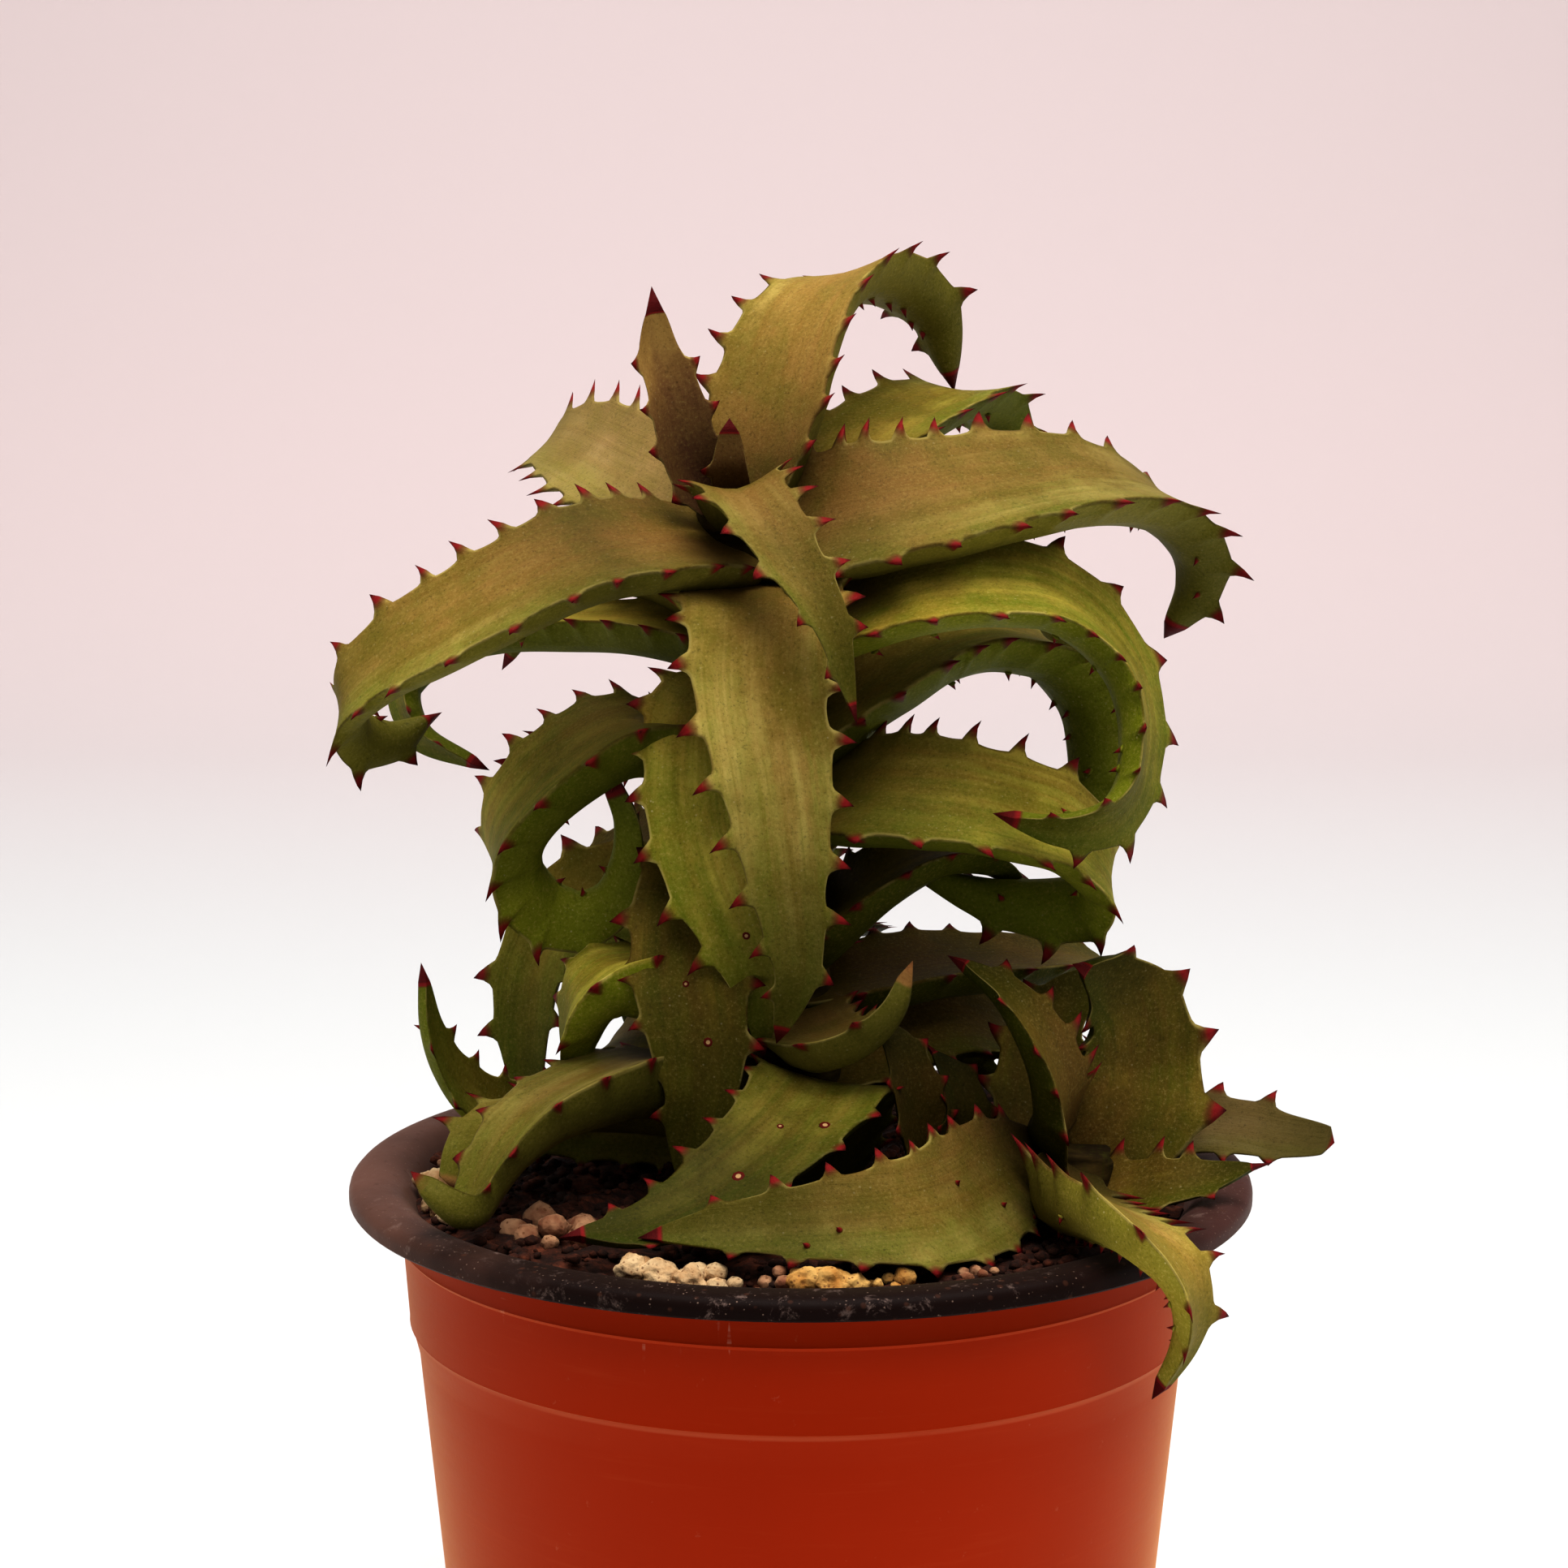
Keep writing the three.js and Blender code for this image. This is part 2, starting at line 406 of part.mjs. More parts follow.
// A toothed blade. With grow above zero it is the free space the blade keeps around itself.
function bladeSolid(entry, seed, grow) {
  const leaf = { ...BLADE, ...entry };
  const frames = bladeFrames(leaf);
  const length = frames.slice(1).reduce((sum, f, i) => sum + f.place.distanceTo(frames[i].place), 0);
  const at = (share, across, lift, ahead = 0) => {
    const { place, along, up, side } = frameAt(frames, share);
    return place.addScaledVector(side, across).addScaledVector(up, lift).addScaledVector(along, ahead);
  };
  const margin = (sideIndex, lift) => {
    const sign = sideIndex === 0 ? -1 : 1;
    const edge = (share) => halfWidth(leaf, share) + grow;
    const row = [{ share: 0, point: at(0, sign * edge(0), lift, -grow) }];
    for (const place of toothPlaces(leaf, seed, sideIndex, length)) {
      const share = place / length;
      const foot = (TEETH.halfBase + grow) / length;
      const size = Math.min(1, 0.35 + (0.65 * halfWidth(leaf, share)) / TEETH.fullWidth);
      const reach = edge(share) + size * TEETH.height + grow;
      row.push({ share: share - foot, point: at(share - foot, sign * edge(share - foot), lift) });
      row.push({ share, point: at(share, sign * reach, lift, size * TEETH.lean * TEETH.height) });
      row.push({ share: share + foot, point: at(share + foot, sign * edge(share + foot), lift) });
    }
    row.push({ share: 1, point: at(1, sign * edge(1), lift) });
    return row;
  };
  const stations = Math.max(6, Math.round(length / leaf.stationPitch));
  const rib = (across, lift) => Array.from({ length: stations + 1 }, (_, i) => {
    const share = i / stations;
    return { share, point: at(share, across(share), lift(share), i === 0 ? -grow : 0) };
  });
  const channel = rib(() => 0, (s) => grow - leaf.channel * halfWidth(leaf, s));
  const keel = (sign) => rib(
    (s) => sign * (leaf.keelShare * halfWidth(leaf, s) + grow),
    (s) => -bladeDepth(leaf, s) - grow,
  );
  const rows = grow > 0
    ? [margin(0, grow), channel, margin(1, grow), margin(1, -grow), keel(1), keel(-1), margin(0, -grow)]
    : [margin(0, 0), channel, margin(1, 0), keel(1), keel(-1)];
  const apex = at(1, 0, -0.4 * bladeDepth(leaf, 1), leaf.apexLength + grow);
  return skin(rows, apex);
}

// Rows of points running from root to tip, listed around the blade, closed into a solid.
function skin(rows, apex) {
  const points = [];
  const first = [];
  for (const row of rows) {
    first.push(points.length / 3);
    for (const { point } of row) points.push(point.x, point.y, point.z);
  }
  const tip = points.length / 3;
  points.push(apex.x, apex.y, apex.z);
  const faces = [];
  rows.forEach((row, k) => {
    const n = (k + 1) % rows.length;
    const next = rows[n];
    let i = 0;
    let j = 0;
    while (i < row.length - 1 || j < next.length - 1) {
      const a = first[k] + i;
      const b = first[n] + j;
      const rowTurn = j === next.length - 1 || (i < row.length - 1 && row[i + 1].share <= next[j + 1].share);
      if (rowTurn) {
        faces.push(a, b, a + 1);
        i += 1;
      } else {
        faces.push(a, b, b + 1);
        j += 1;
      }
    }
    faces.push(first[k] + row.length - 1, first[n] + next.length - 1, tip);
  });
  for (let k = 2; k < rows.length; k += 1) {
    const a = (rows.length + 2 - k) % rows.length;
    const b = (rows.length + 1 - k) % rows.length;
    faces.push(first[1], first[a], first[b]);
  }
  return solidFrom(points, faces);
}

function stemSolid({ spine, radius, steps }, grow) {
  const points = spine.map((p) => new THREE.Vector3(...p));
  const ends = [points[1].clone().sub(points[0]), points.at(-1).clone().sub(points.at(-2))];
  points[0].addScaledVector(ends[0].normalize(), -grow);
  points.at(-1).addScaledVector(ends[1].normalize(), grow);
  const outline = new THREE.Shape();
  for (let k = 0; k < STEM_SIDES; k += 1) {
    const angle = (2 * Math.PI * k) / STEM_SIDES;
    const x = (radius + grow) * Math.cos(angle);
    const y = (radius + grow) * Math.sin(angle);
    if (k === 0) outline.moveTo(x, y);
    else outline.lineTo(x, y);
  }
  outline.closePath();
  return toSolid(new THREE.ExtrudeGeometry(outline, {
    steps,
    bevelEnabled: false,
    extrudePath: new THREE.CatmullRomCurve3(points, false, 'centripetal'),
  }));
}

function drainHoles() {
  return Array.from({ length: DRAIN_HOLES.count }, (_, k) => {
    const angle = (2 * Math.PI * (k + 0.5)) / DRAIN_HOLES.count;
    const { radius, ring, segments, depth } = DRAIN_HOLES;
    const drill = new THREE.CylinderGeometry(radius, radius, depth, segments);
    drill.rotateX(Math.PI / 2);
    drill.translate(ring * Math.cos(angle), ring * Math.sin(angle), 0);
    return toSolid(drill);
  });
}

function drilled(profile) {
  const shell = toSolid(turned(profile, POT.segments));
  return drainHoles().reduce((solid, drill) => solid.subtract(drill), shell);
}

function soilHeight(x, y) {
  const wave = Math.sin(0.31 * x + 1.3) * Math.cos(0.27 * y - 0.4) + 0.6 * Math.sin(0.53 * x - 0.44 * y);
  return SOIL.topZ + SOIL.relief * wave;
}

function soilSolid(stemHoles) {
  const top = SOIL.topZ;
  const outer = [[0, 3.1], [40.6, 3.1], [48.3, 82.9], [49.3, 87.3], [50.5, 101.8], [51, top]];
  const inner = SOIL.rings.map((share) => [51 * share, top]);
  const geometry = turned([...outer, ...inner, [0, top]], SOIL.segments);
  const position = geometry.attributes.position;
  for (let i = 0; i < position.count; i += 1) {
    if (position.getZ(i) > top - 0.01) position.setZ(i, soilHeight(position.getX(i), position.getY(i)));
  }
  return stemHoles.reduce((solid, hole) => solid.subtract(hole), toSolid(geometry));
}

// One stone: a rough, slightly flattened ball.
function stoneSolid([x, y, size], seed) {
  const ball = new THREE.IcosahedronGeometry(size, 0);
  ball.rotateZ(7 * chance(seed, 1));
  ball.rotateX(7 * chance(seed, 2));
  const position = ball.attributes.position;
  for (let i = 0; i < position.count; i += 1) {
    const p = new THREE.Vector3().fromBufferAttribute(position, i);
    const code = Math.round(p.x * 100) + 3 * Math.round(p.y * 100) + 7 * Math.round(p.z * 100);
    p.multiplyScalar(1 + STONE.roughness * (chance(seed, code) - 0.5));
    position.setXYZ(i, p.x, p.y, 0.8 * p.z);
  }
  ball.translate(x, y, soilHeight(x, y) + STONE.sink * size);
  return toSolid(ball);
}

function pumiceSolid(stones, seed, neighbours) {
  const group = stones.map((stone, k) => stoneSolid(stone, 10 * seed + k)).reduce((a, b) => a.add(b));
  return clearOf(group, neighbours);
}

const aloe = new THREE.Group();
aloe.name = 'potted_aloe';

const bodyProfile = [
  [0, 0], [POT.footRadius - POT.footChamfer, 0], [POT.footRadius, POT.footChamfer],
  [POT.taperTopRadius, POT.taperTopZ], [POT.collarBottomRadius, POT.collarBottomZ],
  [POT.collarRadius - 0.2, POT.ridgeZ - 0.3], [POT.collarRadius + 0.2, POT.ridgeZ],
  [POT.collarRadius, POT.ridgeZ + POT.ridgeHeight], [POT.collarRadius, POT.collarTopZ],
  [POT.collarRadius - POT.wall, POT.collarTopZ],
  [POT.collarBottomRadius - POT.wall, POT.collarBottomZ + 0.4],
  [POT.taperTopRadius - POT.wall, POT.taperTopZ + 0.4],
  [POT.footRadius - POT.wall, POT.floor], [0, POT.floor],
];
const linerProfile = [
  [0, 1.9], [41.8, 1.9], [49.5, 82.7], [50.5, 87], [51.75, 102.3], [53, 103.5], [54.8, 104.5],
  [59.1, 103.3], [POT.rimRadius, 103.3], [POT.rimRadius, 104.6], [59.6, 105.5],
  [58.6, POT.height], [54.9, POT.height], [53, 105], [51.9, 103.5], [50.9, 102.2],
  [49.6, 87.2], [48.6, 82.9], [40.9, 2.8], [0, 2.8],
];
aloe.add(piece('pot_body', 'terracotta', toGeometry(drilled(bodyProfile)), 0.55));
aloe.add(piece('pot_liner', 'charcoal', toGeometry(drilled(linerProfile)), 0.5));

const stems = Object.entries(STEMS).map(([name, stem]) => ({
  name: `stem_${name}`,
  solid: stemSolid(stem, 0),
  room: stemSolid(stem, GAP),
}));
const soil = soilSolid(stems.map((stem) => stem.room));
aloe.add(piece('soil', 'soil', toGeometry(soil), 0.95));
for (const stem of stems) aloe.add(piece(stem.name, 'stem', toGeometry(stem.solid), 0.85));

const taken = [soil.translate([0, 0, BLADE_GAP]), ...stems.map((stem) => stem.room)];
LEAVES.forEach((leaf, seed) => {
  const blade = clearOf(bladeSolid(leaf, seed, 0), taken);
  aloe.add(piece(leaf.name, leaf.tint, toGeometry(blade), 0.6));
  taken.push(bladeSolid(leaf, seed, BLADE_GAP));
});
PUMICE.forEach((group, seed) => {
  aloe.add(piece(group.name, group.tint, toGeometry(pumiceSolid(group.stones, seed, taken)), 0.9));
});

export default aloe;
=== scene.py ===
import math
import random

import bmesh
import bpy
import numpy as np
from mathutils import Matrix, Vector, noise


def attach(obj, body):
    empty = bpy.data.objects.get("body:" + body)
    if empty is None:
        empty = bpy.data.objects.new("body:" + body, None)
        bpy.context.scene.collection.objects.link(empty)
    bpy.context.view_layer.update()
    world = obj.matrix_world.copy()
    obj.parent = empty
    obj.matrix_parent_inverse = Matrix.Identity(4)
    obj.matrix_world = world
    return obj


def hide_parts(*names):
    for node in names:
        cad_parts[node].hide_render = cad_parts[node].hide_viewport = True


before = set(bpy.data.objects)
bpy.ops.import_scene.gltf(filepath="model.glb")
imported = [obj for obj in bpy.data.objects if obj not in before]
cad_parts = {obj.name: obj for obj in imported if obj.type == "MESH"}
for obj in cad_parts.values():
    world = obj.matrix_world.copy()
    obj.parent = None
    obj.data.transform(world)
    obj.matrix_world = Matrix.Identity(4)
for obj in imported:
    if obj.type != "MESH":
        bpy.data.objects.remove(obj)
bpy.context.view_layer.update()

MM = 0.001


class Term:
    """A number that varies over a surface. Sums and products of terms add Math nodes."""

    def __init__(self, paint, socket):
        self.paint = paint
        self.socket = socket

    def _math(self, operation, first, second):
        node = self.paint.node("ShaderNodeMath", {"operation": operation}, {0: first, 1: second})
        return Term(self.paint, node.outputs[0])

    def __add__(self, other):
        return self._math("ADD", self, other)

    def __radd__(self, other):
        return self._math("ADD", other, self)

    def __sub__(self, other):
        return self._math("SUBTRACT", self, other)

    def __rsub__(self, other):
        return self._math("SUBTRACT", other, self)

    def __mul__(self, other):
        return self._math("MULTIPLY", self, other)

    def __rmul__(self, other):
        return self._math("MULTIPLY", other, self)

    def above(self, low, high):
        """0 up to low, 1 from high on, and a smooth rise between."""
        node = self.paint.node("ShaderNodeMapRange", {"interpolation_type": "SMOOTHSTEP", "clamp": True},
                               {"Value": self, "From Min": low, "From Max": high})
        return Term(self.paint, node.outputs[0])


class Paint:
    """One material, built up in coats."""

    def __init__(self, name, roughness, specular, **fixed):
        self.material = bpy.data.materials.new(name)
        self.material.use_nodes = True
        self.tree = self.material.node_tree
        self.shader = self.tree.nodes["Principled BSDF"]
        self.shader.inputs["Roughness"].default_value = roughness
        self.shader.inputs["Specular IOR Level"].default_value = specular
        for socket, value in fixed.items():
            self.shader.inputs[socket.replace("_", " ")].default_value = value

    def node(self, kind, settings, values):
        made = self.tree.nodes.new(kind)
        for key, value in settings.items():
            setattr(made, key, value)
        for key, value in values.items():
            self.feed(made.inputs[key], value)
        return made

    def feed(self, socket, value):
        if isinstance(value, Term):
            value = value.socket
        if isinstance(value, bpy.types.NodeSocket):
            self.tree.links.new(value, socket)
        else:
            socket.default_value = value

    def place(self):
        """Object coordinates in metres."""
        return self.node("ShaderNodeTexCoord", {}, {}).outputs["Object"]

    def attribute(self, name, vector=False):
        node = self.node("ShaderNodeAttribute", {"attribute_name": name}, {})
        return node.outputs["Vector"] if vector else Term(self, node.outputs["Fac"])

    def part(self, vector, axis):
        node = self.node("ShaderNodeSeparateXYZ", {}, {0: vector})
        return Term(self, node.outputs[axis])

    def noise(self, vector, scale, detail=2.0, rough=0.5, distortion=0.0):
        node = self.node("ShaderNodeTexNoise", {"noise_dimensions": "3D"},
                         {"Vector": vector, "Scale": scale, "Detail": detail, "Roughness": rough,
                          "Distortion": distortion})
        return Term(self, node.outputs[0])

    def cells(self, vector, scale):
        node = self.node("ShaderNodeTexVoronoi", {"feature": "F1"}, {"Vector": vector, "Scale": scale})
        return Term(self, node.outputs["Distance"])

    def stretch(self, vector, scale):
        return self.node("ShaderNodeMapping", {"vector_type": "POINT"},
                         {"Vector": vector, "Scale": scale}).outputs[0]

    def blend(self, low, high, factor):
        """From colour low to colour high as factor goes from 0 to 1."""
        node = self.node("ShaderNodeMix", {"data_type": "RGBA", "blend_type": "MIX"}, {})
        self.feed(node.inputs["Factor"], factor)
        self.feed(node.inputs[6], low)
        self.feed(node.inputs[7], high)
        return node.outputs[2]

    def show(self, colour):
        self.shown = colour
        self.feed(self.shader.inputs["Base Color"], colour)

    def coat(self, colour, cover):
        """Lays colour over the coats below, fully where cover is 1."""
        self.show(self.blend(self.shown, colour, cover))

    def lighten(self, factor):
        """Makes the coats so far lighter by factor, or darker where it is below 1."""
        node = self.node("ShaderNodeVectorMath", {"operation": "SCALE"}, {0: self.shown, "Scale": factor})
        self.show(node.outputs[0])

    def roughness(self, value):
        self.feed(self.shader.inputs["Roughness"], value)

    def bump(self, height, depth, strength):
        """height from 0 to 1 stands depth metres proud."""
        node = self.node("ShaderNodeBump", {}, {"Height": height, "Distance": depth, "Strength": strength})
        self.tree.links.new(node.outputs[0], self.shader.inputs["Normal"])


def rgb(red, green, blue):
    """A colour from 0-255 display values."""
    def linear(value):
        value /= 255
        return value / 12.92 if value <= 0.04045 else ((value + 0.055) / 1.055) ** 2.4
    return (linear(red), linear(green), linear(blue), 1.0)


def leaf_skin(name, face, shade, flush, under):
    """Velvety succulent skin: brown in the middle, green to the margins, with dark red teeth."""
    paint = Paint(name, roughness=0.6, specular=0.05)
    facts = ("share", "tooth", "below", "uphill", "margin", "scar", "tone", "blush", "dry")
    share, tooth, below, uphill, margin, scar, tone, blush, dry = map(paint.attribute, facts)
    run = paint.attribute("run", vector=True)
    here = paint.place()

    def drawn_out(along, across, scale=1.0, **grain):
        """Noise drawn out along the blade."""
        return paint.noise(paint.stretch(run, (along, across, 1.0)), scale, **grain)

    bands = drawn_out(0.03, 0.25, detail=3).above(0.36, 0.64)
    veins = drawn_out(0.025, 0.8, detail=4, rough=0.6).above(0.42, 0.7)
    streaks = drawn_out(0.018, 0.5, detail=4, rough=0.55).above(0.46, 0.62)
    scuffs = drawn_out(0.25, 1.3, 1.1, detail=6, rough=0.75, distortion=0.8).above(0.7, 0.76)
    patches = paint.noise(here, 75, detail=5, rough=0.65).above(0.36, 0.66)
    grain = paint.noise(here, 2300, detail=3, rough=0.8)
    wash = uphill + (1.0 - margin) * 0.55 + (patches - 0.5) * 0.6
    speckle = paint.noise(here, 420, detail=3, rough=0.6).above(0.4, 0.66)
    paint.show(paint.blend(face, shade, bands * 0.6))
    paint.coat(shade, veins * 0.5)
    paint.coat(shade, (1.0 - uphill.above(-0.8, 0.1)) * (1.0 - below) * 0.4)
    paint.coat(flush, (wash + blush).above(-0.1, 0.75) * 0.7)
    paint.coat(flush, streaks * (uphill + 0.6).above(0.0, 0.8) * 0.45)
    paint.coat(flush, (1.0 - (share + (patches - 0.5) * 0.12).above(0.02, 0.42)) * 0.7)
    paint.coat(shade, patches * 0.45)
    paint.coat(flush, speckle * 0.22)
    # Greener and darker towards the tip: partly its own colour, partly painted shade.
    paint.coat(shade, share.above(0.5, 0.98) * 0.6)
    paint.coat(under, below * 0.85)
    paint.coat(rgb(178, 156, 92), grain.above(0.5, 0.76) * 0.34)
    paint.coat(rgb(30, 28, 4), (1.0 - grain.above(0.25, 0.48)) * 0.5)
    flecks = paint.cells(here, 700)
    paint.coat(rgb(196, 182, 138), (1.0 - flecks.above(0.05, 0.13)) * patches * 0.3)
    paint.coat(rgb(200, 188, 146), scuffs * 0.4)
    edge = margin.above(0.94, 0.99) * (1.0 - below)
    paint.coat(rgb(178, 160, 92), edge * patches.above(0.25, 0.85) * 0.65)
    paint.coat(rgb(70, 44, 14), edge * (1.0 - patches.above(0.1, 0.6)) * 0.4)
    # Painted shade: darker towards the root and towards the tip, then the leaf's tone, partly its own and
    # partly painted light and shade, with a little random change from the patches.
    ends = (share.above(-0.12, 0.3) * 0.5 + 0.5) * (1.0 - share.above(0.62, 1.0) * 0.3)
    paint.lighten(tone * ends * (1.08 - patches * 0.16))
    paint.coat(rgb(88, 36, 18), tooth.above(0.2, 0.45) * 0.75)
    paint.coat(rgb(118, 24, 24), tooth.above(0.4, 0.62))
    paint.coat(rgb(44, 10, 12), tooth.above(0.72, 1.0) * 0.85)
    paint.coat(rgb(84, 20, 12), scar.above(0.1, 0.4))
    paint.coat(rgb(176, 142, 98), scar.above(0.66, 0.95))
    dried = (dry + (patches - 0.5) * 0.5).above(0.3, 0.8)
    paint.coat(paint.blend(rgb(156, 116, 66), rgb(92, 52, 26), grain), dried * 0.85)
    paint.roughness(0.46 + 0.22 * grain)
    paint.bump(grain * 0.7 + veins * 0.3, 0.00018, 0.7)
    return paint.material


def pot_skin():
    """Thin moulded plastic with faint flow marks, dust, scuffed edges and a painted highlight along the
    step.
    """
    paint = Paint("moulded terracotta plastic", roughness=0.4, specular=0.045, Sheen_Weight=0.6,
                  Sheen_Roughness=0.4, Sheen_Tint=(1.0, 0.56, 0.2, 1.0))
    here = paint.place()
    cloud = paint.noise(here, 26, detail=3)
    flow = paint.noise(paint.stretch(here, (1.0, 1.0, 14.0)), 60, detail=4, rough=0.6)
    fine = paint.noise(here, 1400, detail=2)
    paint.show(paint.blend(rgb(176, 44, 0), rgb(162, 37, 0), cloud))
    paint.coat(rgb(204, 92, 52), flow.above(0.55, 0.8) * 0.1)
    dust = paint.noise(here, 520, detail=5, rough=0.7).above(0.66, 0.74)
    paint.coat(rgb(226, 170, 140), dust * 0.1)
    height = paint.part(here, "Z")
    # Painted highlight: a thin pale line along the step of the collar.
    step_highlight = height.above(0.0858, 0.0861) * (1.0 - height.above(0.0863, 0.0869))
    paint.coat(rgb(222, 128, 88), step_highlight * cloud.above(0.3, 0.6) * 0.22)
    ticks = paint.noise(paint.stretch(here, (1.0, 1.0, 0.08)), 420, detail=3, rough=0.6).above(0.66, 0.7)
    collar = height.above(0.086, 0.098)
    paint.coat(rgb(228, 168, 140), ticks * collar * flow.above(0.45, 0.6) * 0.3)
    paint.roughness(0.36 + 0.12 * flow + 0.08 * fine)
    paint.bump(flow * 0.7 + fine * 0.3, 0.00005, 0.5)
    return paint.material


def rim_skin():
    """Charcoal plastic with pale scuffs and soil dust, and flanks lighter than the front, partly from
    scuffs and partly as painted reflection.
    """
    paint = Paint("charcoal rim plastic", roughness=0.45, specular=0.04, Sheen_Weight=0.06,
                  Sheen_Roughness=0.5, Sheen_Tint=(1.0, 0.72, 0.6, 1.0))
    here = paint.place()
    cloud = paint.noise(here, 55, detail=4)
    scuff = paint.noise(here, 330, detail=8, rough=0.78, distortion=0.4)
    wear = paint.noise(here, 38, detail=3)
    paint.show(paint.blend(rgb(14, 5, 4), rgb(28, 13, 10), cloud))
    # The left and right flanks are lighter than the front: partly scuffing, partly painted reflection of
    # the bright surroundings.
    left = (paint.part(here, "X") * -1.0 + (cloud - 0.5) * 0.04).above(0.03, 0.062)
    right = (paint.part(here, "X") + (cloud - 0.5) * 0.04).above(0.03, 0.06)
    paint.coat(rgb(108, 74, 62), left * 0.8)
    paint.coat(rgb(76, 46, 42), right * 0.75)
    paint.coat(rgb(134, 112, 104), scuff.above(0.55, 0.68) * wear.above(0.38, 0.62) * 0.6)
    specks = paint.cells(here, 1100)
    paint.coat(rgb(160, 132, 116), (1.0 - specks.above(0.07, 0.16)) * wear.above(0.3, 0.6) * 0.45)
    crumbs = paint.cells(here, 420).above(0.1, 0.2)
    paint.coat(rgb(70, 40, 28), (1.0 - crumbs) * 0.5)
    paint.roughness(0.34 + 0.3 * scuff)
    paint.bump(scuff, 0.00008, 0.5)
    return paint.material


def soil_skin():
    """Damp crumbs of dark peat with reddish fibres."""
    paint = Paint("dark potting soil", roughness=0.9, specular=0.2)
    here = paint.place()
    lumps = paint.noise(here, 260, detail=5, rough=0.7)
    grit = paint.cells(here, 900)
    paint.show(paint.blend(rgb(34, 16, 9), rgb(86, 42, 26), lumps.above(0.4, 0.7)))
    paint.coat(rgb(122, 66, 42), grit.above(0.02, 0.2) * lumps.above(0.55, 0.75) * 0.6)
    paint.coat(rgb(172, 140, 104), paint.noise(here, 1300, detail=2).above(0.72, 0.8) * 0.6)
    paint.bump(lumps + grit * 0.5, 0.0005, 0.8)
    return paint.material


def pumice_skin(name, pale, warm):
    """Chalky pumice with rusty pits."""
    paint = Paint(name, roughness=0.88, specular=0.25)
    here = paint.place()
    cloud = paint.noise(here, 300, detail=4)
    pits = paint.cells(here, 1250)
    fine = paint.noise(here, 2600, detail=3, rough=0.7)
    paint.show(paint.blend(pale, warm, cloud.above(0.35, 0.7)))
    paint.coat(rgb(104, 62, 32), (1.0 - pits.above(0.1, 0.3)) * 0.8)
    paint.coat(rgb(92, 60, 38), fine.above(0.62, 0.72) * 0.5)
    paint.bump(pits * 0.8 + fine * 0.4, 0.0003, 0.9)
    return paint.material


def stem_skin():
    """Fleshy stem in dry papery leaf sheaths."""
    paint = Paint("sheathed stem", roughness=0.8, specular=0.05)
    here = paint.place()
    rings = paint.noise(paint.stretch(here, (1.0, 1.0, 5.0)), 90, detail=4, rough=0.65)
    fibres = paint.noise(paint.stretch(here, (7.0, 7.0, 1.0)), 150, detail=4)
    paint.show(paint.blend(rgb(34, 24, 8), rgb(72, 56, 24), rings.above(0.38, 0.68)))
    paint.coat(rgb(54, 52, 14), fibres.above(0.5, 0.75) * 0.6)
    paint.bump(rings * 0.6 + fibres * 0.4, 0.0004, 0.7)
    return paint.material


def backdrop_skin():
    """White paper sweep that warms to a pale rose above."""
    paint = Paint("paper sweep", roughness=0.95, specular=0.1)
    far = paint.part(paint.place(), "Y")
    paint.show(paint.blend(FLOOR_WHITE, WALL_ROSE, far.above(0.5, 1.6)))
    return paint.material


FLOOR_WHITE = (0.64, 0.66, 0.67, 1.0)
WALL_ROSE = (0.83, 0.72, 0.725, 1.0)

# The blades. Lengths are in mm, and the rest are shares of the half width or of the length.
BLADE_STEP = 0.5
TOOTH_HEIGHT = 2.9
TOOTH_FIRST = (5, 7)
TOOTH_PITCH = (4.8, 7.5)
TOOTH_PITCH_REACH = 34
TOOTH_JITTER = 0.9
TOOTH_LAST = 3.5
TOOTH_LEAN = 0.35
TOOTH_RISE = 0.4
TOOTH_FULL_WIDTH = 4.5
TOOTH_FOOT = 1.45
TOOTH_FLARE = 3.2
BLUNT_SPIKE = 1.2
TIP_DEPTH = 0.28
UNDER_SWELL = 1.06
UPPER_ROW = (-1, -0.95, -0.86, -0.62, -0.32, 0, 0.32, 0.62, 0.86, 0.95, 1)
LOWER_ROW = (0.985, 0.9, 0.7, 0.38, 0, -0.38, -0.7, -0.9, -0.985)
# How much of a tooth's height, and of its red, each of the rows near the edge takes.
EDGE_PULL = {1: 1, 0.985: 0.6, 0.95: 0.5, 0.9: 0.1, 0.86: 0.12}
EDGE_RED = {1: 1, 0.985: 0.75, 0.95: 0.5}
EDGE_DROP = 0.12
STUD_SIDES = 8


USUAL_LEAF = {
    # The blade, in shares of its width or length, and how it twists to its root and tip, in degrees.
    "taper": 2.6, "tip_share": 0.08, "root_share": 0.8, "root_reach": 0.18, "thickness": 0.35,
    "channel": 0.12, "twist": (0, 0),
    # The length in mm of the red spike at the tip, and the size of the teeth.
    "spike": 2.6, "teeth": 1,
    # Prickles on a broad side: the side they stand on (1 is the upper one), how many, and their size.
    "prickles": (1, 0, 1),
    # Healed spots with a red ring, as shares of the length and of the half width.
    "scars": (),
    # How much lighter (above 1) or darker than its finish it is, which is partly its own tone and partly
    # painted light and shade, and how much lighter its lower side is painted, as painted light.
    "tone": 1, "under_tone": 1,
    # How much browner (above 0) or greener (below 0) than its finish it is.
    "blush": 0,
    # Where along it the dry, tan end begins, for one that has it.
    "dry_from": 2,
}


def leaf(name, finish, face, spine, width, **own):
    """One leaf, from root to tip along its spine, with its upper side turned to face at mid-length.

    Its width and its spine are in mm. Tones, which carry painted light and shade, and blushes are one
    number, or several from root to tip.
    """
    basics = {"name": name, "finish": finish, "skin": finish, "face": face, "spine": spine, "width": width}
    return {**USUAL_LEAF, **basics, **own}


